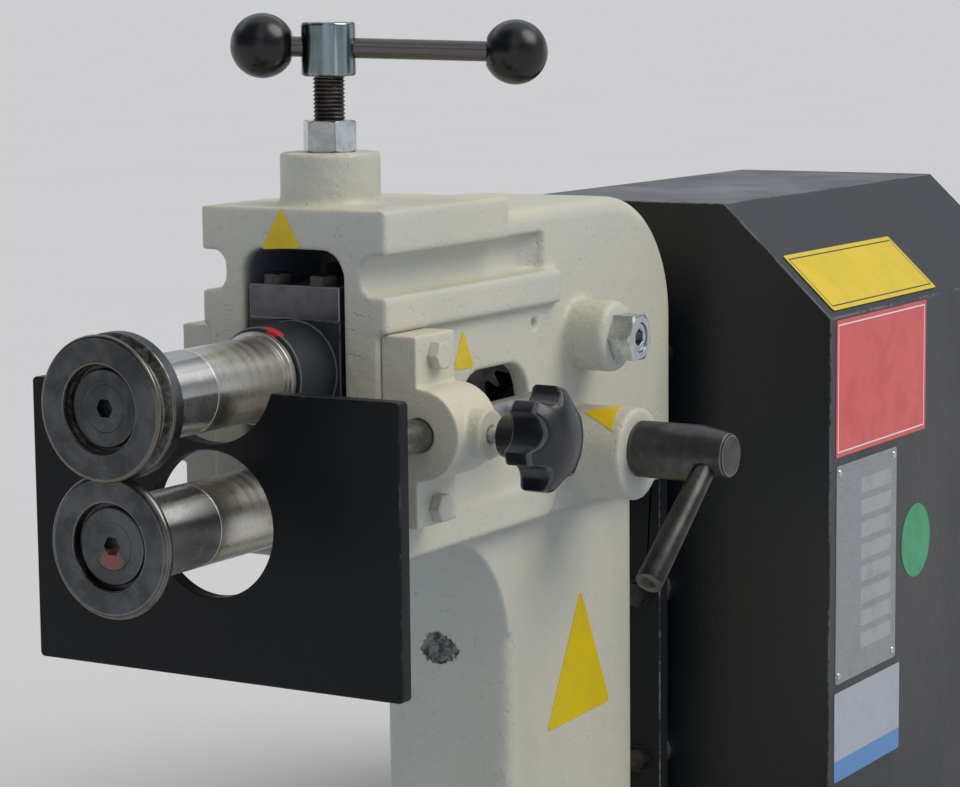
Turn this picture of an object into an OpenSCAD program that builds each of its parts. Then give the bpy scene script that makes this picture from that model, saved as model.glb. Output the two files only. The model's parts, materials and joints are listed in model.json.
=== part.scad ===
// Motor driven swaging machine: two geared roll shafts in a cast frame.
// Sizes in millimetres. X is the lever side, Y runs to the rear, Z is up.

/* [Main sizes] */
// height of the lower shaft axis above the underside of the base plate
axis_z = 300; // [280:1:340]
// distance between the two roll shafts
shaft_gap = 63; // [62.5:0.1:63.6]
// outside diameter of both rolls
roll_d = 67; // [66:0.1:67.4]
// diameter of the long front part of both shafts
shaft_d = 40; // [37:0.5:41]
// distance from the head front face to the joint behind the spacers
shaft_reach = 89.5; // [84:0.5:100]
// length of the spacer between shaft and roll
spacer_len = 43.8; // [40:0.2:50]

/* [Frame casting] */
// width over the two flanges of the head
flange_w = 108.6; // [106:0.2:112]
// width of the plain head sides
head_w = 98; // [96:0.2:102]
// top of the head above the lower shaft axis
head_top = 142.5; // [141:0.5:146]
// thickness of the top flange
top_flange_t = 21.75; // [20:0.25:23]
// length of the top flange
top_flange_len = 119; // [100:1:130]
// length of the lower flange
low_flange_len = 173; // [150:1:178]
// width of the front window
window_w = 59.2; // [58.8:0.1:60]
// width of the column
column_w = 79.4; // [72:0.2:82]
// depth of the column
column_d = 142; // [132:1:146]
// height of the head behind the top flange, below the flange top
dome_drop = 7.9; // [6:0.1:9]
// rounding of the head edges behind the flange
dome_edge = 8; // [5:0.5:10]
// diameter of the screw boss on top
screw_boss_d = 50; // [44:1:54]
// height of the screw boss
screw_boss_h = 25.9; // [22:0.1:28]

/* [Adjusting screw] */
// thread diameter of the adjusting screw
screw_d = 16; // [14:0.5:16]
// thread pitch
screw_pitch = 2; // [1.5:0.1:2.5]
// diameter of the screw hub
hub_d = 27; // [25:0.5:30]
// height of the screw hub
hub_h = 26.5; // [24:0.5:30]
// diameter of the sliding bar
bar_d = 10; // [8:0.5:11]
// diameter of the ball knobs
ball_d = 32; // [28:0.5:34]
// distance of the near ball from the screw axis
ball_near = 32.4; // [32:0.2:36]
// distance of the far ball from the screw axis
ball_far = 92.3; // [85:0.5:110]

/* [Depth stop] */
// width of the stop plate
stop_w = 211.8; // [200:0.2:220]
// thickness of the stop plate
stop_t = 8; // [6:0.5:10]
// distance of the plate front from the head front face
stop_out = 70.6; // [66:0.2:75]
// diameter of the stop rods
rod_d = 16; // [14:0.5:17]
// distance of each rod from the middle
rod_x = 70; // [69:0.2:72]
// height of the rods above the lower shaft axis
rod_z = 35.2; // [34.8:0.2:35.6]
// diameter of the star knobs
knob_d = 51.2; // [46:0.2:54]

/* [Shift lever] */
// diameter of the lever boss
lever_boss_d = 50; // [46:0.5:51]
// diameter of the lever rod at its free end
lever_end_d = 14.4; // [12:0.2:16]
// length of the lever rod from its axis
lever_len = 92; // [80:1:110]
// offset of the eccentric pin
eccentric = 2; // [1.5:0.1:2.2]

/* [Drive] */
// width of the drive casing
casing_w = 273.2; // [262:0.2:290]
// depth of the drive casing
casing_d = 311.5; // [305:0.5:330]
// width of the flat casing top
casing_top_w = 138.8; // [120:0.2:160]
// sheet thickness of the casing
sheet_t = 2; // [1.5:0.1:3]
// width of the base plate
base_w = 300; // [294:1:330]
// thickness of the base plate
base_t = 12; // [10:0.5:16]

/* [Clearances] */
// radial gap of pieces that are fixed together
fit = 0.03; // [0.02:0.01:0.05]
// radial gap of pieces that turn or slide
run = 0.05; // [0.03:0.01:0.09]

/* [Hidden] */
$fn = 96;

// paints and metals
cream = [0.80, 0.79, 0.71];
black = [0.10, 0.10, 0.11];
steel = [0.66, 0.66, 0.67];
dark_steel = [0.25, 0.25, 0.27];
zinc = [0.72, 0.74, 0.76];
bronze = [0.62, 0.45, 0.20];

// the part is drawn from the head front face and the lower shaft axis
base_y0 = 100;
base_y1 = 690;
y_front = -(base_y0 + base_y1) / 2;
z_bot = -axis_z;
z_base = z_bot + base_t;

// head
hw = head_w / 2;
fw = flange_w / 2;
dome_top = head_top - dome_drop;
arch_r = 72.2;
arch_z = dome_top - arch_r;
arch_y = 240.2;
rear_y = arch_y + arch_r;
rear_wall = 16;
arm_z = -31;
wall = 10;
front_wall = 71;
cav_hw = hw - wall;
cav_z0 = arm_z + 9;
cav_z1 = head_top - 17.5;
top_flange_z = head_top - top_flange_t;
low_flange_z1 = top_flange_z - 19.75;
low_flange_z0 = low_flange_z1 - 18;
window_z1 = head_top - 19.9;
window_z0 = shaft_gap - 35;
window_r = 13;
pivot_y = 200;
pivot_boss_x = 74;
pivot_boss_r = 19.2;
pivot_boss_edge = 4;
pivot_r = 8;
pivot_tip_r = 5;
pivot_nut_h = 13;
pivot_nut_af = 24;
pivot_socket_af = 8;
lever_boss_x = 86;
panel_x = hw + 2;
chw = column_w / 2;
col_y0 = 139;
col_y1 = col_y0 + column_d;
boss_top = head_top + screw_boss_h;
screw_y = 35.4;
foot_top = z_base + 22;
foot_x = 62;
foot_y = [126, 286];
plate_y0 = rear_y;
plate_y1 = rear_y + 10;
plate_hw = 40;
plate_z0 = z_base + 53;
plate_z1 = arch_z - 3;
plate_screw_x = 33;
plate_screw_z = [38, -12];
box_bolt_x = 26;
box_bolt_z = [-102.2, -201.2];
cross_y0 = 232;
cross_y1 = 262;

// lower shaft steps
spigot_r = 12.5;
shaft_r = shaft_d / 2;
low_j1 = 17;
low_j2 = 16;
low_j3 = 15;
low_j4 = 14;
low_tail = 12.5;
shift_r = 23;
bush_t = 4;
tail_end = 405;

// upper shaft steps
up_j1 = 16;
up_seat = 15.5;
up_j2 = 15;
up_bush_t = 2;
ring_r = shaft_r + 2.5;
collar_r = shaft_r + 4.5;
block_hw = window_w / 2 - 0.3;
block_z0 = shaft_gap - 30;
block_z1 = shaft_gap + 25.1;
cap_z1 = block_z1 + 16.8;
block_y0 = 1.5;
block_y1 = 69;
cap_bolt_x = 13.5;
cap_bolt_y = [8, 62.8];
pocket_z0 = block_z1 - 5.5;

// rolls
roll_r = roll_d / 2;
roll_back = -(shaft_reach + spacer_len);
up_face = roll_back - 19.3;
low_face = roll_back - 15;
groove_r = shaft_gap - roll_r - 1;
seat_r = 20;
cap_r = 18;
up_floor = roll_back - 11.3;
low_floor = roll_back - 9.7;
up_cap_front = up_floor - 4;
low_cap_front = low_floor - 3;
cap_plug = 5.6;
spigot_end = roll_back - 3.7;
csk_r = 11;
roll_screw_r = 6;

// gears
gear_teeth = 21;
gear_y0 = 158;
gear_y1 = 180;
gear_pitch_r = shaft_gap / 2;
gear_tip = gear_pitch_r + 2.4;
gear_root = gear_pitch_r - 4;

// adjusting screw
hub_z0 = boss_top + 37.2;
bar_z = hub_z0 + hub_h / 2 + 0.8;
bar_turn = 31;
bar_dip = 2;
screw_r = screw_d / 2;
nut_h = 15.6;
thread_rings = floor((hub_z0 - boss_top + 16) / screw_pitch - 1.45);
pad_z0 = pocket_z0 + 0.4;
pad_flange_t = 4;
pad_r = 11;
pad_top = pad_z0 + 14;

// brackets and stop
brk_t = 19.8;
brk_x0 = hw;
brk_x1 = hw + brk_t;
brk_y0 = 3;
brk_y1 = 39;
brk_mid = (brk_y0 + brk_y1) / 2;
brk_z0 = -11;
brk_z1 = low_flange_z0 - 0.1;
brk_boss_r = 22.5;
brk_boss_y1 = brk_y1 + 2;
clamp_y = (brk_y0 + brk_boss_y1) / 2;
brk_bolt_z = [72.3, -2.5];
nub_x = rod_x + 29.3;
nub_r = 12.25;
rod_r = rod_d / 2;
rod_back = 120;
stop_z0 = -76.9;
stop_z1 = shaft_gap - 0.6;
stop_hole_r = 35.3;
stop_hole_z = -1.9;
stop_scoop_r = 37;
stop_scoop_z = shaft_gap + 10.3;
stop_corner = 2.5;
stop_y0 = -stop_out;
stop_y1 = stop_y0 + stop_t;
pad_x0 = rod_x + rod_r + 0.3;
pad_len = 7;
stud_r = 4;
knob_x0 = nub_x + 7.9;
knob_neck = 13.2;
knob_dome_r = knob_d * 0.742;
knob_neck_r = 10.4;
knob_chamfer = 2.6;
knob_dome_z = -0.8;
knob_bore = 18.2;
lobe_gap_r = 11.5;
lobe_gap_out = 4.4;
lobes = 6;
lobe_turn = 15;

// lever
lever_x = lever_boss_x + 43;
lever_dip = 38;
lever_z = 3;
lever_shaft_r = 10;
lever_hole_r = 5;
lever_hub_r = 15.25;
lever_hub_end_r = 11.9;
lever_hub_len = 54.2;
lever_taper = 36;
lever_chamfer = 0.7;
pin_r = 4;

// casing
cas_y0 = rear_y + 24.1;
cas_y1 = cas_y0 + casing_d;
cas_hw = casing_w / 2;
cas_top_hw = casing_top_w / 2;
cas_z1 = head_top - 17.3;
cas_zs = cas_z1 - 63.4;
cover_y1 = cas_y1 + sheet_t;
vent_w = 64;
cover_screw_x = cas_hw - 13;
cover_screw_z = [30, -120, -270];
base_screw_x = cas_hw - 14;
base_screw_y = [cas_y0 + 40, cas_y1 - 40];
box_y0 = cas_y0 + 8.5;
box_y1 = box_y0 + 80;
box_r = 52;
box_low = -190;
motor_z = -140;
motor_y1 = box_y1 + 135;
sleeve_r = 21;
gland_x = 40;
gland_z = -240;
bolt_x = base_w / 2 - 20;
bolt_y = [base_y0 + 22, base_y1 - 22];
bolt_hole_r = 7;
m8_r = 4;
m8_af = 13;

// shared shapes
module place() translate([0, y_front, axis_z]) children();
module bx(x0, x1, y0, y1, z0, z1)
    translate([x0, y0, z0]) cube([x1 - x0, y1 - y0, z1 - z0]);
module cy(r, y0, y1, x, z)
    translate([x, y0, z]) rotate([-90, 0, 0]) cylinder(r = r, h = y1 - y0);
module cx(r, x0, x1, y, z)
    translate([x0, y, z]) rotate([0, 90, 0]) cylinder(r = r, h = x1 - x0);
module cz(r, z0, z1, x, y)
    translate([x, y, z0]) cylinder(r = r, h = z1 - z0);
module yz(x0, x1)
    translate([x0, 0, 0]) rotate([90, 0, 90]) linear_extrude(x1 - x0) children();
module xz(y0, y1)
    translate([0, y1, 0]) rotate([90, 0, 0]) linear_extrude(y1 - y0) children();
module xy(z0, z1)
    translate([0, 0, z0]) linear_extrude(z1 - z0) children();
module rev_y(z)
    translate([0, 0, z]) rotate([-90, 0, 0]) rotate_extrude() children();
module rrect(x0, x1, y0, y1, r) {
    translate([x0 + r, y0]) square([x1 - x0 - 2 * r, y1 - y0]);
    translate([x0, y0 + r]) square([x1 - x0, y1 - y0 - 2 * r]);
    for (x = [x0 + r, x1 - r])
        for (y = [y0 + r, y1 - r])
            translate([x, y]) circle(r = r);
}
module both() {
    children();
    mirror([1, 0, 0]) children();
}
// hexagon head lying along X, seat at x0
module hex_x(af, x0, x1, y, z)
    translate([x0, y, z]) rotate([0, 90, 0])
        cylinder(r = af / sqrt(3), h = x1 - x0, $fn = 6);
module hex_y(af, y0, y1, x, z)
    translate([x, y0, z]) rotate([-90, 0, 0])
        cylinder(r = af / sqrt(3), h = y1 - y0, $fn = 6);
module hex_z(af, z0, z1, x, y)
    translate([x, y, z0]) cylinder(r = af / sqrt(3), h = z1 - z0, $fn = 6);

// cast frame
module frame_outer() {
    head_block();
    bx(-fw, fw, 0, top_flange_len, top_flange_z, head_top);
    bx(-fw, fw, 0, low_flange_len, low_flange_z0, low_flange_z1);
    yz(-panel_x, panel_x) {
        translate([0, arm_z]) square([159, 19]);
        translate([0, arm_z + 14]) square([173, 5]);
        translate([159, arm_z + 14]) circle(r = 14);
    }
    both() pivot_boss();
    cx(lever_boss_d / 2, 0, lever_boss_x, pivot_y, 0);
    cz(screw_boss_d / 2, head_top - 3, boss_top, 0, screw_y);
    translate([0, screw_y, head_top]) rotate_extrude() difference() {
        translate([screw_boss_d / 2 - 1, -1]) square([5, 5]);
        translate([screw_boss_d / 2 + 4, 4]) circle(r = 4);
    }
    xy(z_base, arm_z + 1) rrect(-chw, chw, col_y0, col_y1, 7);
    yz(-chw, chw) difference() {
        translate([col_y0 - 70, arm_z - 70]) square([78, 71]);
        translate([col_y0 - 70, arm_z - 70]) circle(r = 70);
        translate([col_y0 - 1, arm_z - 71]) square([20, 10]);
    }
    bx(-18, 18, col_y1 - 1, rear_y, z_base, arm_z + 1);
    xy(z_base, foot_top) rrect(-80, 80, 108, 304, 12);
}
// head with rounded edges: a straight top, a quarter arch and a straight back
module head_block() {
    xz(0, arch_y) {
        rrect(-hw, hw, arch_z, dome_top, dome_edge);
        translate([-hw, arm_z]) square([head_w, arch_z - arm_z + dome_edge + 1]);
    }
    translate([0, arch_y, arch_z]) rotate([0, 90, 0]) rotate([0, 0, 90]) rotate_extrude(angle = 90) {
        translate([0, -hw]) square([arch_r - dome_edge, head_w]);
        translate([0, dome_edge - hw]) square([arch_r, head_w - 2 * dome_edge]);
        for (x = [dome_edge - hw, hw - dome_edge])
            translate([arch_r - dome_edge, x]) circle(r = dome_edge);
    }
    xy(arm_z, arch_z) {
        rrect(-hw, hw, arch_y, rear_y, dome_edge);
        translate([-hw, arch_y]) square([head_w, dome_edge + 1]);
    }
}
module pivot_boss() translate([0, pivot_y, shaft_gap]) rotate([0, 90, 0]) rotate_extrude() {
    square([pivot_boss_r - pivot_boss_edge, pivot_boss_x]);
    square([pivot_boss_r, pivot_boss_x - pivot_boss_edge]);
    translate([pivot_boss_r - pivot_boss_edge, pivot_boss_x - pivot_boss_edge])
        circle(r = pivot_boss_edge);
}
module frame_groove() {
    xz(-1, 150) rrect(hw - 8.8, hw + 20, low_flange_z1, top_flange_z, 7);
    xy(low_flange_z1, top_flange_z) translate([fw, 150]) circle(r = fw - hw + 8.8);
}
module frame_casting() color(cream) place() {
    difference() {
        frame_outer();
        both() frame_groove();
        xz(-1, front_wall + 1)
            rrect(-window_w / 2, window_w / 2, window_z0, window_z1, window_r);
        bx(-window_w / 2, window_w / 2, -1, front_wall + 1, window_z0, window_z1 - window_r);
        yz(-cav_hw, cav_hw) {
            translate([front_wall, cav_z0]) square([arch_y - front_wall, cav_z1 - cav_z0]);
            translate([arch_y, cav_z0]) square([arch_r - rear_wall, arch_z - cav_z0]);
            intersection() {
                translate([arch_y, arch_z]) circle(r = cav_z1 - arch_z);
                translate([arch_y - 1, arch_z - 1]) square([arch_r - rear_wall + 1, arch_r]);
            }
        }
        bx(-24, 24, rear_y - 20, rear_y + 1, cav_z0, arch_z - 11);
        yz(-fw - 9, fw + 9) rrect(76, 146, 8, 55, 20);
        cy(low_j1 + bush_t, -1, front_wall + 1, 0, 0);
        both() cx(pivot_r + run, cav_hw - 1, pivot_boss_x + 1, pivot_y, shaft_gap);
        cx(lever_shaft_r + run, cav_hw - 1, lever_boss_x + 1, pivot_y, lever_z);
        cz(screw_r + run, window_z1 - 1, boss_top + 1, 0, screw_y);
        both() for (z = brk_bolt_z) cx(m8_r + run, hw - 17, hw + 1, brk_mid, z);
        both() for (z = plate_screw_z) cy(m8_r + run, rear_y - 17, rear_y + 1, plate_screw_x, z);
        cx(3, hw - 5, hw + 1, 152, 73.5);
        cy(gear_tip + 2, gear_y0 - 4, gear_y1 + 4, 0, 0);
        cy(shift_r + 3, gear_y1, pivot_y + 16, 0, 0);
        both() for (y = foot_y) cz(6 + run, z_base - 1, foot_top + 1, foot_x, y);
        bx(-chw + 11, chw - 11, col_y0 + 11, col_y1 - 11, z_base - 1, arm_z - 12);
    }
    difference() {
        bx(-cav_hw - 1, cav_hw + 1, cross_y0, cross_y1, cav_z0 - 1, 32);
        cy(low_j4 + bush_t + 1, cross_y0 - 1, cross_y1 + 1, 0, 0);
    }
}
module base_plate() color(black) place() difference() {
    xy(z_bot, z_base) rrect(-base_w / 2, base_w / 2, base_y0, base_y1, 12);
    both() for (y = bolt_y) cz(bolt_hole_r, z_bot - 1, z_base + 1, bolt_x, y);
    both() for (y = foot_y) cz(6 + run, z_bot - 1, z_base + 1, foot_x, y);
    both() for (y = base_screw_y) cz(3 + run, z_bot + 2, z_base + 1, base_screw_x, y);
}
module foot_bolts() color(zinc) place() both() for (y = foot_y) {
    cz(6, z_bot + 1, foot_top + 1, foot_x, y);
    cz(12, foot_top, foot_top + 2.5, foot_x, y);
    hex_z(18, foot_top + 2, foot_top + 10, foot_x, y);
}
module lower_front_bush() color(bronze) place() difference() {
    union() {
        cy(low_j1 + bush_t - fit, -1, front_wall - 1, 0, 0);
        cy(27, -6, 0, 0, 0);
    }
    cy(low_j1 + run, -7, front_wall, 0, 0);
}
module lower_rear_bush() color(bronze) place() difference() {
    cy(low_j4 + bush_t + 1 - fit, cross_y0, cross_y1, 0, 0);
    cy(low_j4 + run, cross_y0 - 1, cross_y1 + 1, 0, 0);
}

// drive
module drive_plate() color(black) place() difference() {
    bx(-plate_hw, plate_hw, plate_y0, plate_y1, plate_z0, plate_z1);
    cy(17, plate_y0 - 1, plate_y1 + 1, 0, 0);
    both() for (z = plate_screw_z) cy(m8_r + run, plate_y0 - 1, plate_y1 + 1, plate_screw_x, z);
    both() for (z = box_bolt_z) cy(m8_r + run, plate_y0 - 1, plate_y1 + 1, box_bolt_x, z);
}
module drive_plate_bolts() color(dark_steel) place() both() {
    for (z = plate_screw_z) difference() {
        union() {
            cy(m8_r, rear_y - 15, plate_y1 + 1, plate_screw_x, z);
            cy(6.5, plate_y1, plate_y1 + 8, plate_screw_x, z);
        }
        hex_y(6, plate_y1 + 4, plate_y1 + 9, plate_screw_x, z);
    }
    for (z = box_bolt_z) {
        cy(m8_r, plate_y0 - 2, box_y0 + 3, box_bolt_x, z);
        cy(8.4, plate_y0 - 1.6, plate_y0, box_bolt_x, z);
        hex_y(m8_af, plate_y0 - 7, plate_y0 - 1.5, box_bolt_x, z);
    }
}
module box_outline(r) {
    circle(r = r);
    translate([0, box_low]) circle(r = r);
    translate([-r, box_low]) square([2 * r, -box_low]);
}
module gearbox_housing() color([0.55, 0.57, 0.58]) place() {
    difference() {
        xz(box_y0, box_y1) box_outline(box_r);
        xz(box_y0 + 9, box_y1 - 9) box_outline(box_r - 8);
        cy(40, box_y1 - 10, box_y1 + 1, 0, motor_z);
        cy(sleeve_r + run, box_y0 - 1, box_y1 + 1, 0, 0);
        both() for (z = box_bolt_z) cy(m8_r + run, box_y0 - 1, box_y0 + 5, box_bolt_x, z);
    }
    difference() {
        cy(sleeve_r + 7, box_y0 + 8, box_y1 - 8, 0, 0);
        cy(sleeve_r + run, box_y0 - 1, box_y1 + 1, 0, 0);
    }
    both() for (z = box_bolt_z) difference() {
        cy(9, plate_y1, box_y0 + 1, box_bolt_x, z);
        cy(m8_r + run, plate_y1 - 1, box_y0 + 5, box_bolt_x, z);
    }
}
module output_sleeve() color(steel) place() difference() {
    cy(sleeve_r, box_y0 - 2, box_y1 + 2, 0, 0);
    cy(low_tail + run, box_y0 - 3, box_y1 + 3, 0, 0);
    bx(-4.05, 4.05, box_y0 - 3, box_y1 + 3, low_tail - 2, low_tail + 3.6);
}
module motor_body() color([0.42, 0.46, 0.50]) place() difference() {
    union() {
        cy(60, box_y1, box_y1 + 10, 0, motor_z);
        cy(57, box_y1 + 9, motor_y1, 0, motor_z);
        for (a = [0:18:342])
            translate([0, 0, motor_z]) rotate([0, a, 0])
                bx(-1.5, 1.5, box_y1 + 16, motor_y1 - 8, 50, 63);
        bx(-36, 36, box_y1 + 30, box_y1 + 100, motor_z + 52, motor_z + 92);
    }
    cy(9.5 + run, box_y1 - 1, motor_y1 + 1, 0, motor_z);
}
module motor_fan() color(black) place() {
    cy(9.5, box_y1 - 20, motor_y1 + 30, 0, motor_z);
    cy(20, motor_y1 + 6, motor_y1 + 28, 0, motor_z);
    for (a = [0:45:315])
        translate([0, 0, motor_z]) rotate([0, a, 0])
            bx(-1.5, 1.5, motor_y1 + 8, motor_y1 + 26, 15, 52);
}
module motor_fan_cover() color([0.30, 0.32, 0.34]) place() difference() {
    cy(61, motor_y1, motor_y1 + 46, 0, motor_z);
    cy(59, motor_y1 + 2, motor_y1 + 44, 0, motor_z);
    cy(30, motor_y1 - 1, motor_y1 + 3, 0, motor_z);
    for (a = [0:30:330])
        translate([0, 0, motor_z]) rotate([0, a, 0])
            cy(7, motor_y1 + 43, motor_y1 + 47, 0, 40);
}
module casing_outline(t) {
    nx = cas_z1 - cas_zs;
    nz = cas_hw - cas_top_hw;
    len = sqrt(nx * nx + nz * nz);
    c = (cas_hw * nx + cas_zs * nz) / len - t;
    xs = cas_hw - t;
    zt = cas_z1 - t;
    zs = (c - xs * nx / len) * len / nz;
    xt = (c - zt * nz / len) * len / nx;
    polygon([[-xs, z_base + (t > 4 ? t : 0)], [-xs, zs], [-xt, zt], [xt, zt], [xs, zs],
        [xs, z_base + (t > 4 ? t : 0)]]);
}
module drive_casing() color(black) place() {
    difference() {
        xz(cas_y0, cas_y1) casing_outline(0);
        xz(cas_y0 + sheet_t, cas_y1 - sheet_t) {
            casing_outline(sheet_t);
            translate([-cas_hw + sheet_t, z_base - 5]) square([casing_w - 2 * sheet_t, 50]);
        }
        xz(cas_y1 - sheet_t - 1, cas_y1 + 1) casing_outline(26);
        both() for (z = cover_screw_z)
            cy(2.5 + run, cas_y1 - sheet_t - 1, cas_y1 + 1, cover_screw_x, z);
        cy(20, cas_y0 - 1, cas_y0 + sheet_t + 1, 0, 0);
        both() for (z = box_bolt_z)
            cy(9.6, cas_y0 - 1, cas_y0 + sheet_t + 1, box_bolt_x, z);
    }
    both() difference() {
        bx(cas_hw - 26, cas_hw - 1, cas_y0 + 1, cas_y1 - 1, z_base, z_base + sheet_t);
        for (y = base_screw_y)
            cz(3 + run, z_base - 1, z_base + sheet_t + 1, base_screw_x, y);
    }
}
module rear_cover() color(black) place() difference() {
    xz(cas_y1, cover_y1) casing_outline(5);
    for (x = [-45, 45])
        for (k = [0:7])
            xz(cas_y1 - 1, cover_y1 + 1)
                rrect(x - vent_w / 2, x + vent_w / 2, -20 - k * 16, -14 - k * 16, 2.9);
    both() for (z = cover_screw_z) cy(2.5 + run, cas_y1 - 1, cover_y1 + 1, cover_screw_x, z);
    both() cy(8 + run, cas_y1 - 1, cover_y1 + 1, gland_x, gland_z);
}
module casing_screws() color(dark_steel) place() both() {
    for (z = cover_screw_z) {
        cy(2.5, cas_y1 - 6, cover_y1 + 1, cover_screw_x, z);
        cy(4.75, cover_y1, cover_y1 + 2.7, cover_screw_x, z);
    }
    for (y = base_screw_y) {
        cz(3, z_bot + 4, z_base + sheet_t + 1, base_screw_x, y);
        hex_z(10, z_base + sheet_t, z_base + sheet_t + 4, base_screw_x, y);
    }
}
module cable_glands() color(black) place() both() difference() {
    union() {
        cy(8, cas_y1 - 8, cover_y1 + 1, gland_x, gland_z);
        hex_y(22, cover_y1, cover_y1 + 6, gland_x, gland_z);
        cy(10.5, cover_y1 + 5, cover_y1 + 16, gland_x, gland_z);
    }
    cy(4, cas_y1 - 9, cover_y1 + 17, gland_x, gland_z);
}

// stop brackets
module bracket() difference() {
    union() {
        bx(brk_x0, brk_x1, brk_y0, brk_y1, brk_z0, brk_z1);
        cy(brk_boss_r, brk_y0, brk_boss_y1, rod_x, rod_z);
        cx(nub_r, rod_x, nub_x, clamp_y, rod_z);
    }
    bx(0, brk_x0, brk_y0 - 1, brk_boss_y1 + 1, brk_z0 - 1, brk_z1 + 1);
    cy(rod_r + run, brk_y0 - 1, brk_boss_y1 + 1, rod_x, rod_z);
    cx(5 + run, rod_x, pad_x0 + pad_len + 2.5, clamp_y, rod_z);
    cx(stud_r + run, rod_x, nub_x + 1, clamp_y, rod_z);
    for (z = brk_bolt_z) cx(m8_r + run, brk_x0 - 1, brk_x1 + 1, brk_mid, z);
}
module bracket_right() color(cream) place() bracket();
module bracket_left() color(cream) place() mirror([1, 0, 0]) bracket();
module bracket_bolts() color(cream) place() both() for (z = brk_bolt_z) {
    cx(m8_r, hw - 15, brk_x1 + 1, brk_mid, z);
    hex_x(m8_af, brk_x1, brk_x1 + 5.5, brk_mid, z);
}
module clamp_pad() cx(5, pad_x0, pad_x0 + pad_len, clamp_y, rod_z);
module clamp_pad_right() color(bronze) place() clamp_pad();
module clamp_pad_left() color(bronze) place() mirror([1, 0, 0]) clamp_pad();
module clamp_stud() cx(stud_r, pad_x0 + pad_len, knob_x0 + 18, clamp_y, rod_z);
module clamp_stud_right() color(zinc) place() clamp_stud();
module clamp_stud_left() color(zinc) place() mirror([1, 0, 0]) clamp_stud();
module star(d) difference() {
    circle(r = d / 2);
    for (k = [1:lobes]) rotate(lobe_turn + 360 / lobes * k)
        translate([d / 2 + lobe_gap_out, 0]) circle(r = lobe_gap_r);
}
module clamp_knob() translate([knob_x0, clamp_y, rod_z]) rotate([0, 90, 0]) difference() {
    union() {
        cylinder(r = knob_neck_r, h = knob_neck + 1);
        intersection() {
            translate([0, 0, knob_neck]) linear_extrude(knob_dome_r) star(knob_d);
            rotate_extrude() polygon([[0, knob_neck], [knob_d / 2 + 1 - knob_chamfer, knob_neck],
                [knob_d / 2 + 1, knob_neck + knob_chamfer], [knob_d / 2 + 1, knob_d], [0, knob_d]]);
            translate([0, 0, knob_dome_z]) sphere(r = knob_dome_r);
        }
    }
    translate([0, 0, -1]) cylinder(r = stud_r + fit, h = knob_bore + 1);
}
module clamp_knob_right() color(black) place() clamp_knob();
module clamp_knob_left() color(black) place() mirror([1, 0, 0]) clamp_knob();
module stop_plate() color(black) place() difference() {
    xz(stop_y0, stop_y1) rrect(-stop_w / 2, stop_w / 2, stop_z0, stop_z1, stop_corner);
    cy(stop_hole_r, stop_y0 - 1, stop_y1 + 1, 0, stop_hole_z);
    cy(stop_scoop_r, stop_y0 - 1, stop_y1 + 1, 0, stop_scoop_z);
}
module stop_rods() color(steel) place() both() cy(rod_r, stop_y1, rod_back, rod_x, rod_z);

// pivots of the upper shaft
module pivot_screws() color(zinc) place() both() difference() {
    union() {
        cx(pivot_tip_r, 21, 32.5, pivot_y, shaft_gap);
        cx(pivot_r, 31.5, pivot_boss_x + pivot_nut_h - 1, pivot_y, shaft_gap);
    }
    hex_x(pivot_socket_af, pivot_boss_x + 4, pivot_boss_x + pivot_nut_h, pivot_y, shaft_gap);
}
module pivot_lock_nuts() color(zinc) place() both() difference() {
    hex_x(pivot_nut_af, pivot_boss_x, pivot_boss_x + pivot_nut_h, pivot_y, shaft_gap);
    cx(pivot_r + fit, pivot_boss_x - 1, pivot_boss_x + pivot_nut_h + 1, pivot_y, shaft_gap);
}

// adjusting screw
module screw_lock_nut() color(zinc) place() translate([0, screw_y, 0]) rotate([0, 0, 14.6])
    difference() {
        intersection() {
            hex_z(24, boss_top, boss_top + nut_h, 0, 0);
            translate([0, 0, boss_top]) rotate_extrude() polygon([[0, 0], [12.4, 0],
                [13.9, 0.9], [13.9, nut_h - 0.9], [12.4, nut_h], [0, nut_h]]);
        }
        cz(screw_r + run, boss_top - 1, boss_top + nut_h + 1, 0, 0);
    }
module thrust_pad() color(dark_steel) place() translate([0, screw_y, 0]) difference() {
    union() {
        intersection() {
            cz(pad_r, pad_z0, pad_z0 + pad_flange_t, 0, 0);
            translate([0, 0, pad_z0 + 90]) sphere(r = 90);
        }
        cz(7.5, pad_z0 + pad_flange_t - 1, pad_top, 0, 0);
    }
    cz(5 + run, pad_z0 + 2.5, pad_top + 1, 0, 0);
}
module pressure_screw() color([0.33, 0.29, 0.25]) place() translate([0, screw_y, 0]) {
    cz(5, pad_z0 + 2.8, pad_top + 1, 0, 0);
    cz(screw_r - 0.02, pad_top + 0.1, boss_top - 16, 0, 0);
    translate([0, 0, boss_top - 16]) rotate_extrude() polygon(concat(
        [[0, 0], [screw_r - 0.02, 0]],
        [for (k = [0:thread_rings]) each [[screw_r - 0.02, (k + 0.6) * screw_pitch],
            [screw_r - 1.2, (k + 1) * screw_pitch], [screw_r - 0.02, (k + 1.4) * screw_pitch]]],
        [[screw_r - 0.02, hub_z0 - boss_top + 16], [0, hub_z0 - boss_top + 16]]));
    cz(6, hub_z0 - 1, hub_z0 + 7.2, 0, 0);
}
module screw_hub() color(steel) place() translate([0, screw_y, 0]) difference() {
    translate([0, 0, hub_z0]) rotate_extrude() polygon([[0, 0], [hub_d / 2 - 1, 0],
        [hub_d / 2, 1], [hub_d / 2, hub_h - 1], [hub_d / 2 - 1, hub_h], [0, hub_h]]);
    cz(6 + fit, hub_z0 - 1, hub_z0 + 7.3, 0, 0);
    translate([0, 0, bar_z]) rotate([0, 0, bar_turn]) rotate([0, bar_dip, 0])
        cx(bar_d / 2 + run, -hub_d, hub_d, 0, 0);
}
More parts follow.
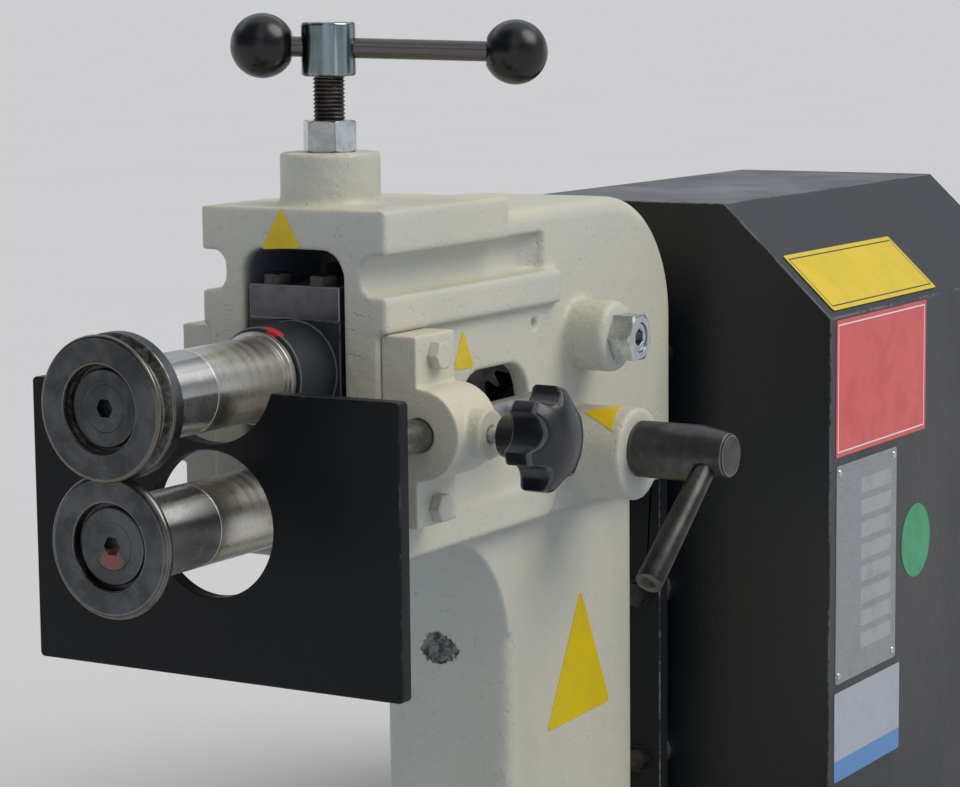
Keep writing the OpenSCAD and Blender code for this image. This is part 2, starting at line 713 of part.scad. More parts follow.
module tommy_bar() color(steel) place() translate([0, screw_y, bar_z])
    rotate([0, 0, bar_turn]) rotate([0, bar_dip, 0])
        cx(bar_d / 2, -ball_near - 4, ball_far + 4, 0, 0);
module ball_knobs() color(black) place() translate([0, screw_y, bar_z])
    rotate([0, 0, bar_turn]) rotate([0, bar_dip, 0]) difference() {
        union() {
            translate([-ball_near, 0, 0]) sphere(r = ball_d / 2);
            translate([ball_far, 0, 0]) sphere(r = ball_d / 2);
        }
        cx(bar_d / 2 + fit, -ball_near - 4.1, ball_far + 4.1, 0, 0);
    }

// upper shaft carrier
module bearing_block() color(black) place() difference() {
    union() {
        bx(-block_hw + 2.5, block_hw - 2.5, block_y0, 13, block_z0, block_z1);
        bx(-block_hw, block_hw, 12, block_y1, block_z0, block_z1);
        cy(collar_r, -29, 3, 0, shaft_gap);
    }
    cy(up_j1 + up_bush_t, -30, block_y1 + 1, 0, shaft_gap);
    bx(-12, 12, screw_y - 14, screw_y + 15, pocket_z0, block_z1 + 1);
    both() for (y = cap_bolt_y) cz(4 + run, block_z1 - 11, block_z1 + 1, cap_bolt_x, y);
}
module bearing_cap() color(dark_steel) place() difference() {
    bx(-block_hw + 2.7, block_hw - 2.7, block_y0, block_y1, block_z1, cap_z1);
    bx(-9.5, 9.5, screw_y - 12, screw_y + 13, block_z1 - 1, cap_z1 + 1);
    both() for (y = cap_bolt_y) cz(4 + run, block_z1 - 1, cap_z1 + 1, cap_bolt_x, y);
}
module cap_bolts() color(dark_steel) place() both() for (y = cap_bolt_y) {
    cz(4, block_z1 - 10, cap_z1 + 1, cap_bolt_x, y);
    hex_z(m8_af, cap_z1, cap_z1 + 5.3, cap_bolt_x, y);
}
module upper_front_bush() color(bronze) place() difference() {
    cy(up_j1 + up_bush_t - fit, -28.5, block_y1, 0, shaft_gap);
    cy(up_j1 + run, -30, block_y1 + 1, 0, shaft_gap);
}
module trunnion_block() color(dark_steel) place() difference() {
    bx(-30, 30, pivot_y - 15, pivot_y + 15, shaft_gap - 25, shaft_gap + 25);
    cy(up_j2 + 3, pivot_y - 16, pivot_y + 16, 0, shaft_gap);
    both() cx(pivot_tip_r + run, 20, 31, pivot_y, shaft_gap);
}
module upper_rear_bush() color(bronze) place() difference() {
    cy(up_j2 + 3 - fit, pivot_y - 15, pivot_y + 15, 0, shaft_gap);
    cy(up_j2 + run, pivot_y - 16, pivot_y + 16, 0, shaft_gap);
}

// rolls and shafts
module upper_shaft() color(steel) place() difference() {
    union() {
        cy(spigot_r, spigot_end, -shaft_reach + 1, 0, shaft_gap);
        cy(shaft_r, -shaft_reach, -33, 0, shaft_gap);
        cy(ring_r, -33.5, -29.6, 0, shaft_gap);
        cy(up_j1, -30, 72, 0, shaft_gap);
        cy(up_seat, 71, 182, 0, shaft_gap);
        cy(up_j2, 181, 222, 0, shaft_gap);
    }
    cy(roll_screw_r + fit, spigot_end - 1, spigot_end + 30, 0, shaft_gap);
    bx(-4 - fit, 4 + fit, 160 - fit, 178 + fit, shaft_gap + 11.5 - fit, shaft_gap + 18);
}
module spacer(z) difference() {
    cy(shaft_r, roll_back, -shaft_reach, 0, z);
    cy(spigot_r + fit, roll_back - 1, -shaft_reach + 1, 0, z);
}
module upper_spacer() color(steel) place() spacer(shaft_gap);
module lower_spacer() color(steel) place() spacer(0);
module upper_roll() color(dark_steel) place() rev_y(shaft_gap) polygon([
    [spigot_r + fit, up_floor], [seat_r, up_floor], [seat_r, up_face + 0.5],
    [seat_r + 0.5, up_face], [roll_r - 1.4, up_face], [roll_r - 0.4, up_face + 0.5],
    [roll_r, up_face + 1.5], [roll_r - 0.2, up_face + 3], [groove_r + 0.4, up_face + 3.3],
    [groove_r, up_face + 3.8], [groove_r, up_face + 10], [roll_r - 0.5, up_face + 11.5],
    [roll_r, up_face + 12], [roll_r, roll_back - 1], [roll_r - 1, roll_back],
    [spigot_r + fit, roll_back]]);
module lower_roll() color(dark_steel) place() rev_y(0) polygon([
    [spigot_r + fit, low_floor], [seat_r, low_floor], [seat_r, low_face + 0.5],
    [seat_r + 0.5, low_face], [roll_r - 2.5, low_face], [roll_r - 0.9, low_face + 0.7],
    [roll_r - 0.2, low_face + 1.7], [roll_r, low_face + 2.8], [roll_r - 0.2, low_face + 3.9],
    [roll_r - 0.9, low_face + 4.9], [roll_r - 2.5, low_face + 5.6], [23, low_face + 5.6],
    [23, roll_back], [spigot_r + fit, roll_back]]);
module roll_cap(floor_y, front_y, z) rev_y(z) polygon([
    [csk_r + fit, front_y], [cap_r - 0.6, front_y], [cap_r, front_y + 0.6], [cap_r, floor_y],
    [spigot_r - fit, floor_y], [spigot_r - fit, floor_y + cap_plug],
    [roll_screw_r + fit, floor_y + cap_plug],
    [roll_screw_r + fit, front_y + csk_r - roll_screw_r]]);
module upper_roll_cap() color(dark_steel) place() roll_cap(up_floor, up_cap_front, shaft_gap);
module lower_roll_cap() color(dark_steel) place() roll_cap(low_floor, low_cap_front, 0);
module roll_screw(front_y, z) difference() {
    rev_y(z) polygon([[0, front_y], [csk_r, front_y],
        [roll_screw_r, front_y + csk_r - roll_screw_r], [roll_screw_r, front_y + 36],
        [0, front_y + 36]]);
    translate([0, front_y - 1, z]) rotate([-90, 0, 0])
        cylinder(r = 8 / sqrt(3), h = 6, $fn = 6);
}
module upper_roll_screw() color(dark_steel) place() roll_screw(up_cap_front, shaft_gap);
module lower_roll_screw() color(dark_steel) place() roll_screw(low_cap_front, 0);
module gear_outline(a0) polygon([for (k = [0:gear_teeth - 1]) let (a = a0 + k * 360 / gear_teeth)
    each [
        [gear_root * cos(a - 6) , gear_root * sin(a - 6)],
        [gear_tip * cos(a - 1.7), gear_tip * sin(a - 1.7)],
        [gear_tip * cos(a + 1.7), gear_tip * sin(a + 1.7)],
        [gear_root * cos(a + 6), gear_root * sin(a + 6)]]]);
module upper_gear() color([0.45, 0.45, 0.46]) place() difference() {
    translate([0, 0, shaft_gap]) xz(gear_y0, gear_y1)
        gear_outline(270 + 180 / gear_teeth);
    cy(up_seat + fit, gear_y0 - 1, gear_y1 + 1, 0, shaft_gap);
    bx(-4 - fit, 4 + fit, gear_y0 - 1, gear_y1 + 1, shaft_gap + 10, shaft_gap + 18.5 + fit);
}
module upper_key() color(steel) place()
    bx(-4, 4, 160, 178, shaft_gap + 11.5, shaft_gap + 18.5);
module lower_gear() color([0.45, 0.45, 0.46]) place() difference() {
    xz(gear_y0 + 2, gear_y1 - 2) gear_outline(90);
    cy(low_j2 + fit, gear_y0 - 1, gear_y1 + 1, 0, 0);
    bx(-4 - fit, 4 + fit, gear_y0 - 1, gear_y1 + 1, 10, 19 + fit);
}
module lower_shaft() color(steel) place() difference() {
    union() {
        cy(spigot_r, spigot_end, -shaft_reach + 1, 0, 0);
        cy(shaft_r, -shaft_reach, -9, 0, 0);
        cy(low_j1, -10, 76, 0, 0);
        cy(low_j2, 75, pivot_y - 10, 0, 0);
        cy(low_j3, pivot_y - 11, pivot_y + 14, 0, 0);
        cy(low_j4, pivot_y + 13, cross_y1 + 6, 0, 0);
        cy(low_tail, cross_y1 + 5, tail_end, 0, 0);
    }
    cy(roll_screw_r + fit, spigot_end - 1, spigot_end + 32, 0, 0);
    bx(-4 - fit, 4 + fit, 162 - fit, 176 + fit, 12 - fit, 20);
    bx(-4 - fit, 4 + fit, box_y0 + 5 - fit, box_y0 + 45 + fit, 8.5 - fit, 20);
}
module lower_keys() color(steel) place() {
    bx(-4, 4, 162, 176, 12, 19);
    bx(-4, 4, box_y0 + 5, box_y0 + 45, 8.5, 15.5);
}
module shift_collar() color(bronze) place() difference() {
    cy(shift_r, pivot_y - 10, pivot_y + 10, 0, 0);
    cy(low_j3 + run, pivot_y - 11, pivot_y + 11, 0, 0);
    bx(17.5, 24, pivot_y - pin_r - run, pivot_y + pin_r + run, -12, 12);
}
module collar_ring() color(steel) place() difference() {
    cy(20, pivot_y + 10, pivot_y + 12.5, 0, 0);
    cy(low_j3 + fit, pivot_y + 9, pivot_y + 13, 0, 0);
}

// shift lever
module lever_hub() color(dark_steel) place() difference() {
    union() {
        cx(pin_r, 18, 25.5, pivot_y, lever_z + eccentric);
        cx(lever_shaft_r, 24.5, lever_boss_x + 1, pivot_y, lever_z);
        translate([lever_boss_x + 0.3, pivot_y, lever_z]) rotate([0, 90, 0]) rotate_extrude()
            polygon([[0, 0], [lever_hub_r - lever_chamfer, 0], [lever_hub_r, lever_chamfer],
                [lever_hub_r, lever_taper], [lever_hub_end_r, lever_hub_len - lever_chamfer],
                [lever_hub_end_r - lever_chamfer, lever_hub_len], [0, lever_hub_len]]);
    }
    translate([lever_x, pivot_y, lever_z]) rotate([lever_dip, 0, 0])
        cy(lever_hole_r + fit, -30, 8.1, 0, 0);
}
module lever_rod() color(steel) place() translate([lever_x, pivot_y, lever_z])
    rotate([lever_dip, 0, 0]) {
        cy(lever_hole_r, -18, 8, 0, 0);
        translate([0, -lever_len, 0]) rotate([-90, 0, 0])
            cylinder(r1 = lever_end_d / 2, r2 = lever_hole_r, h = lever_len - 17);
    }

frame_casting();
base_plate();
foot_bolts();
lower_front_bush();
lower_rear_bush();
drive_plate();
drive_plate_bolts();
gearbox_housing();
motor_body();
motor_fan_cover();
drive_casing();
rear_cover();
casing_screws();
cable_glands();
bracket_right();
bracket_left();
bracket_bolts();
pivot_screws();
pivot_lock_nuts();
screw_lock_nut();
thrust_pad();
pressure_screw();
screw_hub();
tommy_bar();
ball_knobs();
bearing_block();
bearing_cap();
cap_bolts();
upper_front_bush();
trunnion_block();
upper_rear_bush();
upper_shaft();
upper_spacer();
upper_roll();
upper_roll_cap();
upper_roll_screw();
upper_gear();
upper_key();
shift_collar();
lower_shaft();
lower_spacer();
lower_roll();
lower_roll_cap();
lower_roll_screw();
lower_gear();
lower_keys();
collar_ring();
output_sleeve();
motor_fan();
lever_hub();
lever_rod();
stop_plate();
stop_rods();
clamp_pad_right();
clamp_knob_right();
clamp_stud_right();
clamp_pad_left();
clamp_knob_left();
clamp_stud_left();
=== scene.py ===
import json
import math

import bmesh
import bpy
from mathutils import Matrix, Vector


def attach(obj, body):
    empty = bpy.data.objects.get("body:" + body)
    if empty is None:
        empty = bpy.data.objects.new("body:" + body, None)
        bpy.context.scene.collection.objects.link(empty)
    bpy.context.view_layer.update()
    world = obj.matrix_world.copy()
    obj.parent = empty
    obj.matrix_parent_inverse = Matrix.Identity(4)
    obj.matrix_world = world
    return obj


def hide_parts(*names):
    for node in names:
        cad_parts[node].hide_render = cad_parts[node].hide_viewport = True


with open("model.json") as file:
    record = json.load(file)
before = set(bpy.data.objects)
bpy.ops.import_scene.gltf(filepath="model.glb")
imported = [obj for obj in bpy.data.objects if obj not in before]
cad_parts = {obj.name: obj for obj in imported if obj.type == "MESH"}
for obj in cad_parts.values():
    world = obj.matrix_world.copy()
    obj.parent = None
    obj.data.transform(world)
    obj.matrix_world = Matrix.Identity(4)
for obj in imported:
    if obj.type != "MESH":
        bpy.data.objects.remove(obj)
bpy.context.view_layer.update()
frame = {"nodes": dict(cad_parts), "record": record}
scene = bpy.context.scene
scene.view_settings.view_transform = "Standard"

# Places, in millimetres from the front face of the head and the axis of the lower shaft

MM = 0.001
HEAD_FRONT = 395.0
AXIS_HEIGHT = 300.0
SHAFT_GAP = 63.0
SCREW_Y = 35.4
PIVOT_Y = 200.0
LEVER_Z = 3.0
HEAD_SIDE = 49.0
COLUMN_SIDE = 39.7
CASING_SIDE = 136.6
LEVER_BOSS_R = 25.0
BRACKET_SIDE = 68.8
BRACKET_Y = 21.0
BRACKET_BOLT_Z = (72.3, -2.5)
CAP_TOP = 104.9
CAP_BOLT_X = 13.5
CAP_BOLT_Y = (8.0, 62.8)
PIVOT_BOSS = 74.0
WINDOW_FOOT, WINDOW_TOP = 27.0, 123.5
# Where the painted shade inside the head's window starts and where it is full, along Y.
CAVITY_SHADE_START, CAVITY_SHADE_FULL = 2.0, 9.0
CAVITY_SIDE, CAVITY_BACK = 33.0, 270.0


def at(x, y, z):
    """A place as a point of the row frame, in metres."""
    return Vector((x, y - HEAD_FRONT, z + AXIS_HEIGHT)) * MM


UPPER_AXIS = at(0, 0, SHAFT_GAP)
LOWER_AXIS = at(0, 0, 0)
ALONG_X, ALONG_Y, ALONG_Z = Vector((1, 0, 0)), Vector((0, 1, 0)), Vector((0, 0, 1))


# Camera, fitted to the photograph

VIEW_TURN = math.radians(30.92)
VIEW_DIP, VIEW_ROLL = math.radians(7.69), math.radians(-0.57)
VIEW_PLACE = Vector((0.79849, -1.55051, 0.54011))
LENS, SENSOR = 108.17, 36.0
FLOOR_REACH = 600.0


def add_camera():
    level = math.cos(VIEW_DIP)
    ahead = Vector((-math.sin(VIEW_TURN) * level, math.cos(VIEW_TURN) * level, -math.sin(VIEW_DIP)))
    right = Vector((math.cos(VIEW_TURN), math.sin(VIEW_TURN), 0.0))
    up = right.cross(ahead)
    side = right * math.cos(VIEW_ROLL) + up * math.sin(VIEW_ROLL)
    top = up * math.cos(VIEW_ROLL) - right * math.sin(VIEW_ROLL)
    data = bpy.data.cameras.new("photo_camera")
    data.sensor_fit = "HORIZONTAL"
    data.sensor_width = SENSOR
    data.lens = LENS
    data.clip_end = 2 * FLOOR_REACH
    camera = bpy.data.objects.new("photo_camera", data)
    place = Matrix((side, top, -ahead)).transposed().to_4x4()
    place.translation = VIEW_PLACE
    camera.matrix_world = place
    scene.collection.objects.link(camera)
    scene.camera = camera


# Node tools

def put(tree, kind, settings=None, inputs=None):
    made = tree.nodes.new(kind)
    for name, value in (settings or {}).items():
        setattr(made, name, value)
    for name, value in (inputs or {}).items():
        socket = made.inputs[name]
        if isinstance(value, bpy.types.NodeSocket):
            tree.links.new(value, socket)
        else:
            socket.default_value = value
    return made


def maths(tree, operation, a, b=0.0):
    return put(tree, "ShaderNodeMath", {"operation": operation}, {0: a, 1: b}).outputs[0]


def plus(tree, a, b):
    return maths(tree, "ADD", a, b)


def minus(tree, a, b):
    return maths(tree, "SUBTRACT", a, b)


def times(tree, a, b):
    return maths(tree, "MULTIPLY", a, b)


def vector_maths(tree, operation, a, b=(0.0, 0.0, 0.0), out=0):
    return put(tree, "ShaderNodeVectorMath", {"operation": operation}, {0: a, 1: b}).outputs[out]


def span(tree, value, low, high, to_low=0.0, to_high=1.0):
    limits = {"Value": value, "From Min": low, "From Max": high, "To Min": to_low, "To Max": to_high}
    return put(tree, "ShaderNodeMapRange", {"interpolation_type": "SMOOTHSTEP"}, limits).outputs["Result"]


def mixed(tree, share, first, second, blend="MIX"):
    """Two colours mixed. A Mix node keeps its colour sockets at these numbers."""
    settings = {"data_type": "RGBA", "blend_type": blend}
    return put(tree, "ShaderNodeMix", settings, {0: share, 6: first, 7: second}).outputs[2]


def noise(tree, vector, scale, detail=3.0, rough=0.55, out="Fac"):
    inputs = {"Vector": vector, "Scale": scale, "Detail": detail, "Roughness": rough}
    return put(tree, "ShaderNodeTexNoise", None, inputs).outputs[out]


def stretched(tree, vector, factor):
    return vector_maths(tree, "MULTIPLY", vector, factor)


def rgb(r, g, b):
    def linear(v):
        v /= 255.0
        return v / 12.92 if v <= 0.04045 else ((v + 0.055) / 1.055) ** 2.4
    return (linear(r), linear(g), linear(b), 1.0)


def scaled(colour, factor):
    return tuple(min(1.0, c * factor) for c in colour[:3]) + (1.0,)


def new_group(name, takes, gives):
    tree = bpy.data.node_groups.new(name, "ShaderNodeTree")
    for kind, label, value in takes:
        socket = tree.interface.new_socket(label, in_out="INPUT", socket_type=kind)
        if value is not None:
            socket.default_value = value
    for kind, label in gives:
        tree.interface.new_socket(label, in_out="OUTPUT", socket_type=kind)
    return tree, tree.nodes.new("NodeGroupInput").outputs, tree.nodes.new("NodeGroupOutput").inputs


def use(tree, group, inputs):
    return put(tree, "ShaderNodeGroup", {"node_tree": group}, inputs).outputs


# Effects that several finishes share

FLOAT, VECTOR = "NodeSocketFloat", "NodeSocketVector"


def build_cast_skin():
    takes = [(VECTOR, "Vector", None), (FLOAT, "Pit Scale", 420.0), (FLOAT, "Lump Scale", 60.0)]
    tree, take, give = new_group("cast_skin", takes, [(FLOAT, "Height"), (FLOAT, "Tone")])
    pits = noise(tree, take["Vector"], take["Pit Scale"], 3.0, 0.6)
    lumps = noise(tree, take["Vector"], take["Lump Scale"], 3.0, 0.5)
    dent_scale = times(tree, take["Lump Scale"], 2.2)
    dents = span(tree, noise(tree, take["Vector"], dent_scale, 2.0), 0.6, 0.74)
    cell_scale = times(tree, take["Pit Scale"], 0.45)
    cells = put(tree, "ShaderNodeTexVoronoi", {"feature": "SMOOTH_F1"},
                {"Vector": take["Vector"], "Scale": cell_scale}).outputs["Distance"]
    fine = plus(tree, times(tree, pits, 0.45), times(tree, cells, 0.3))
    wide = minus(tree, times(tree, lumps, 1.1), times(tree, dents, 0.5))
    tree.links.new(plus(tree, fine, wide), give["Height"])
    tree.links.new(noise(tree, take["Vector"], 9.0, 4.0, 0.6), give["Tone"])
    return tree


def build_worn_edge():
    takes = [(VECTOR, "Vector", None), (FLOAT, "Scale", 300.0), (FLOAT, "Bareness", 0.5)]
    tree, take, give = new_group("worn_edge", takes, [(FLOAT, "Mask")])
    edge = put(tree, "ShaderNodeAttribute", {"attribute_name": "wear"}).outputs["Fac"]
    grit = noise(tree, take["Vector"], take["Scale"], 4.0, 0.65)
    patches = noise(tree, take["Vector"], times(tree, take["Scale"], 0.12), 2.0, 0.5)
    spread = plus(tree, times(tree, grit, 0.6), times(tree, patches, 0.6))
    limit = minus(tree, 1.15, take["Bareness"])
    worn = span(tree, times(tree, spread, edge), minus(tree, limit, 0.12), limit)
    tree.links.new(worn, give["Mask"])
    return tree


def build_soft_edge():
    """Rounds the shading of sharp edges and marks where they are."""
    takes, gives = [(FLOAT, "Radius", 0.0015)], [(VECTOR, "Normal"), (FLOAT, "Mask")]
    tree, take, give = new_group("soft_edge", takes, gives)
    rounded = put(tree, "ShaderNodeBevel", {"samples": 6}, {"Radius": take["Radius"]}).outputs["Normal"]
    plain = put(tree, "ShaderNodeNewGeometry").outputs["Normal"]
    agree = vector_maths(tree, "DOT_PRODUCT", rounded, plain, out="Value")
    tree.links.new(rounded, give["Normal"])
    tree.links.new(span(tree, agree, 0.995, 0.9), give["Mask"])
    return tree


def build_scuffs():
    takes = [(VECTOR, "Vector", None), (FLOAT, "Scale", 60.0), (FLOAT, "Amount", 0.3)]
    tree, take, give = new_group("scuffs", takes, [(FLOAT, "Scratches"), (FLOAT, "Smears")])
    sway = stretched(tree, noise(tree, take["Vector"], 14.0, 2.0, 0.5, "Color"), (0.03, 0.03, 0.03))
    bent = vector_maths(tree, "ADD", take["Vector"], sway)
    lines = put(tree, "ShaderNodeTexNoise", {"noise_type": "RIDGED_MULTIFRACTAL", "normalize": True},
                {"Vector": stretched(tree, bent, (1.0, 1.0, 0.18)), "Scale": take["Scale"],
                 "Detail": 2.0, "Roughness": 0.5}).outputs["Fac"]
    wide = times(tree, take["Scale"], 0.35)
    where = span(tree, noise(tree, take["Vector"], wide, 3.0, 0.6), 0.52, 0.72)
    start = minus(tree, 1.0, times(tree, take["Amount"], 0.5))
    tree.links.new(times(tree, span(tree, lines, start, 1.0), where), give["Scratches"])
    wiped = stretched(tree, take["Vector"], (1.0, 1.0, 0.5))
    smears = noise(tree, wiped, times(tree, take["Scale"], 0.25), 5.0, 0.62)
    tree.links.new(smears, give["Smears"])
    return tree


def build_lathe_lines():
    """Tool marks round an axis: they change with the length along it and the distance from it."""
    takes = [(VECTOR, "Vector", None), (VECTOR, "Centre", None), (VECTOR, "Axis", None),
             (FLOAT, "Lines", 5000.0), (FLOAT, "Bands", 260.0)]
    tree, take, give = new_group("lathe_lines", takes, [(FLOAT, "Height"), (FLOAT, "Tone")])
    off = vector_maths(tree, "SUBTRACT", take["Vector"], take["Centre"])
    length = vector_maths(tree, "DOT_PRODUCT", off, take["Axis"], out="Value")
    on_axis = put(tree, "ShaderNodeVectorMath", {"operation": "SCALE"},
                  {0: take["Axis"], "Scale": length}).outputs[0]
    out = vector_maths(tree, "SUBTRACT", off, on_axis)
    travel = plus(tree, length, vector_maths(tree, "LENGTH", out, out="Value"))
    drift = stretched(tree, vector_maths(tree, "NORMALIZE", out), (0.0007, 0.0007, 0.0007))
    row = put(tree, "ShaderNodeCombineXYZ", None, {"X": travel}).outputs[0]
    place = vector_maths(tree, "ADD", row, drift)
    fine = noise(tree, place, take["Lines"], 2.0, 0.6)
    wide = noise(tree, place, take["Bands"], 3.0, 0.6)
    tree.links.new(fine, give["Height"])
    tone = plus(tree, times(tree, fine, 0.4), times(tree, wide, 0.6))
    tree.links.new(tone, give["Tone"])
    return tree


CAST_SKIN = build_cast_skin()
WORN_EDGE = build_worn_edge()
SOFT_EDGE = build_soft_edge()
SCUFFS = build_scuffs()
LATHE_LINES = build_lathe_lines()


def worn_edge(tree, place, scale, bareness):
    return use(tree, WORN_EDGE, {"Vector": place, "Scale": scale, "Bareness": bareness})["Mask"]


def scuffs(tree, place, scale, amount):
    return use(tree, SCUFFS, {"Vector": place, "Scale": scale, "Amount": amount})


def cast_skin(tree, place, pits, lumps):
    return use(tree, CAST_SKIN, {"Vector": place, "Pit Scale": pits, "Lump Scale": lumps})


def lathe_lines(tree, place, centre, axis, lines, bands):
    spots = {"Vector": place, "Centre": tuple(centre), "Axis": tuple(axis)}
    return use(tree, LATHE_LINES, {**spots, "Lines": lines, "Bands": bands})


# Finishes

def finish_of(name, rough=0.5, metal=0.0):
    made = bpy.data.materials.new(name)
    made.use_nodes = True
    tree = made.node_tree
    shader = tree.nodes["Principled BSDF"]
    shader.inputs["Roughness"].default_value = rough
    shader.inputs["Metallic"].default_value = metal
    place = put(tree, "ShaderNodeTexCoord").outputs["Object"]
    return made, tree, shader, place


def coat(tree, shader, tone, gloss):
    """Joins a finish's colour and roughness to its shader."""
    tree.links.new(tone, shader.inputs["Base Color"])
    tree.links.new(gloss, shader.inputs["Roughness"])


def bump(tree, shader, height, strength, distance, normal=None):
    made = put(tree, "ShaderNodeBump", None, {"Height": height, "Strength": strength, "Distance": distance})
    if normal:
        tree.links.new(normal, made.inputs["Normal"])
    tree.links.new(made.outputs["Normal"], shader.inputs["Normal"])


def between(tree, value, low, high):
    above = maths(tree, "GREATER_THAN", value, low)
    return times(tree, above, maths(tree, "LESS_THAN", value, high))


def blot_mask(tree, place, spot, squash, reach, ragged, grain):
    """A spot with a ragged edge: 1 inside, 0 outside. Squash stretches it along the axes."""
    near = stretched(tree, vector_maths(tree, "SUBTRACT", place, tuple(spot)), squash)
    away = vector_maths(tree, "LENGTH", near, out="Value")
    uneven = minus(tree, noise(tree, place, grain, 4.0, 0.65), 0.5)
    torn = plus(tree, away, times(tree, uneven, ragged))
    return span(tree, torn, reach * 1.06, reach * 0.94)


def painted_cavity_shade(tree, place):
    """Painted shade inside the head, behind the edge of the front window: a mask for a dark grey that stands
    in for the shadow in the hollow casting.
    """
    parts = put(tree, "ShaderNodeSeparateXYZ", None, {0: place}).outputs
    low, high = at(0, CAVITY_SHADE_START, WINDOW_FOOT), at(0, CAVITY_SHADE_FULL, WINDOW_TOP)
    deep = times(tree, span(tree, parts["Y"], low.y, high.y),
                 maths(tree, "LESS_THAN", parts["Y"], at(0, CAVITY_BACK, 0).y))
    within = maths(tree, "LESS_THAN", maths(tree, "ABSOLUTE", parts["X"]), CAVITY_SIDE * MM)
    tall = between(tree, parts["Z"], low.z, high.z)
    return times(tree, times(tree, deep, within), tall)


CHIP_PLACE = at(-4.0, 139.0, -104.5)
CHIP_SQUASH, CHIP_REACH = (1.0, 0.35, 1.28), 0.0112


def cream_enamel(name, edge_radius, chip_and_cavity_shade=False, depth=0.0011):
    """Painted cast iron. Chip adds painted shade inside the head's front window, standing in for the cavity's
    shadow, and one chipped spot.
    """
    made, tree, shader, place = finish_of(name, 0.42)
    soft = use(tree, SOFT_EDGE, {"Radius": edge_radius})
    skin = cast_skin(tree, place, 480.0, 95.0)
    cool, warm, dusty, dark, rubbed = (rgb(190, 188, 173), rgb(198, 193, 172), rgb(160, 152, 130),
                                       rgb(140, 134, 118), rgb(168, 163, 146))
    tone = mixed(tree, span(tree, skin["Tone"], 0.3, 0.72), cool, warm)
    grime = scuffs(tree, place, 46.0, 0.22)
    dirt = times(tree, span(tree, grime["Smears"], 0.54, 0.76), 0.2)
    tone = mixed(tree, dirt, tone, dusty)
    specks = span(tree, noise(tree, place, 520.0, 2.0, 0.5), 0.7, 0.76, 0.0, 0.45)
    tone = mixed(tree, specks, tone, dark)
    # Darker along edges and in creases: rubbed paint, with painted shade in the creases.
    edge = times(tree, soft["Mask"], span(tree, grime["Smears"], 0.45, 0.65, 0.05, 0.4))
    tone = mixed(tree, edge, tone, rubbed)
    facing = put(tree, "ShaderNodeSeparateXYZ", None,
                 {0: put(tree, "ShaderNodeNewGeometry").outputs["Normal"]}).outputs["Y"]
    height = times(tree, skin["Height"], span(tree, facing, 0.3, -0.8, 0.4, 1.5))
    rough = span(tree, grime["Smears"], 0.3, 0.7, 0.36, 0.52)
    if chip_and_cavity_shade:
        # Painted shade: a cool dark grey inside the head's window stands in for the shadow in the hollow
        # casting.
        cavity_shade_colour = rgb(112, 120, 126)
        tone = mixed(tree, painted_cavity_shade(tree, place), tone, cavity_shade_colour)
        bare = blot_mask(tree, place, CHIP_PLACE, CHIP_SQUASH, CHIP_REACH, ragged=0.017, grain=150.0)
        filler = mixed(tree, span(tree, noise(tree, place, 330.0, 4.0, 0.7), 0.4, 0.62),
                       rgb(58, 58, 58), rgb(132, 128, 118))
        tone = mixed(tree, bare, tone, filler)
        height = minus(tree, height, times(tree, bare, 1.2))
        rough = maths(tree, "MAXIMUM", rough, times(tree, bare, 0.85))
    coat(tree, shader, tone, rough)
    bump(tree, shader, height, 0.55, depth, soft["Normal"])
    return made


def black_enamel(name, shade, bare, rough, grain, depth, wear, shine=0.35, dab=None):
    """Dark paint with scuffs and bare edges. Dab is a paint mark: place, squash, reach and colour."""
    made, tree, shader, place = finish_of(name, rough)
    shader.inputs["Specular IOR Level"].default_value = shine
    skin = cast_skin(tree, place, grain, grain * 0.1)
    marks = scuffs(tree, place, 34.0, 0.3)
    tone = mixed(tree, span(tree, marks["Smears"], 0.42, 0.75, 0.0, 0.5), shade, scaled(shade, 1.7))
    tone = mixed(tree, times(tree, marks["Scratches"], 0.3), tone, bare)
    edge = worn_edge(tree, place, 240.0, wear)
    tone = mixed(tree, edge, tone, bare)
    if dab:
        spot, squash, reach, colour = dab
        paint = blot_mask(tree, place, spot, squash, reach, ragged=0.0022, grain=420.0)
        tone = mixed(tree, paint, tone, colour)
    coat(tree, shader, tone, span(tree, marks["Smears"], 0.3, 0.75, rough - 0.07, rough + 0.12))
    bump(tree, shader, skin["Height"], 0.45, depth)
    return made


def bright_turned(name, clean, stain, rough, stained, centre, axis, drawn=0.0):
    """Ground steel. Drawn is how far its reflections spread along the axis, across the tool marks."""
    made, tree, shader, place = finish_of(name, rough, 1.0)
    if drawn:
        shader.inputs["Anisotropic"].default_value = drawn
        along = put(tree, "ShaderNodeVectorTransform",
                    {"vector_type": "VECTOR", "convert_from": "OBJECT", "convert_to": "WORLD"},
                    {0: tuple(axis)}).outputs[0]
        tree.links.new(along, shader.inputs["Tangent"])
    lines = lathe_lines(tree, place, centre, axis, 5200.0, 300.0)
    marks = scuffs(tree, place, 70.0, 0.35)
    tone = mixed(tree, span(tree, lines["Tone"], 0.32, 0.7), scaled(clean, 0.92), clean)
    blot = span(tree, noise(tree, place, 75.0, 5.0, 0.65), 0.5, 0.74)
    tone = mixed(tree, times(tree, blot, stained), tone, stain)
    specks = span(tree, noise(tree, place, 620.0, 2.0, 0.5), 0.66, 0.74)
    rust = rgb(70, 62, 52)
    tone = mixed(tree, times(tree, specks, stained), tone, rust)
    dull = times(tree, plus(tree, blot, marks["Scratches"]), 0.14 * stained + 0.03)
    rings = 1.0 - drawn
    ringed = span(tree, lines["Tone"], 0.3, 0.7, rough - 0.05 * rings, rough + 0.06 * rings)
    coat(tree, shader, tone, plus(tree, ringed, dull))
    bump(tree, shader, lines["Height"], 0.16 * rings, 0.00006)
    return made


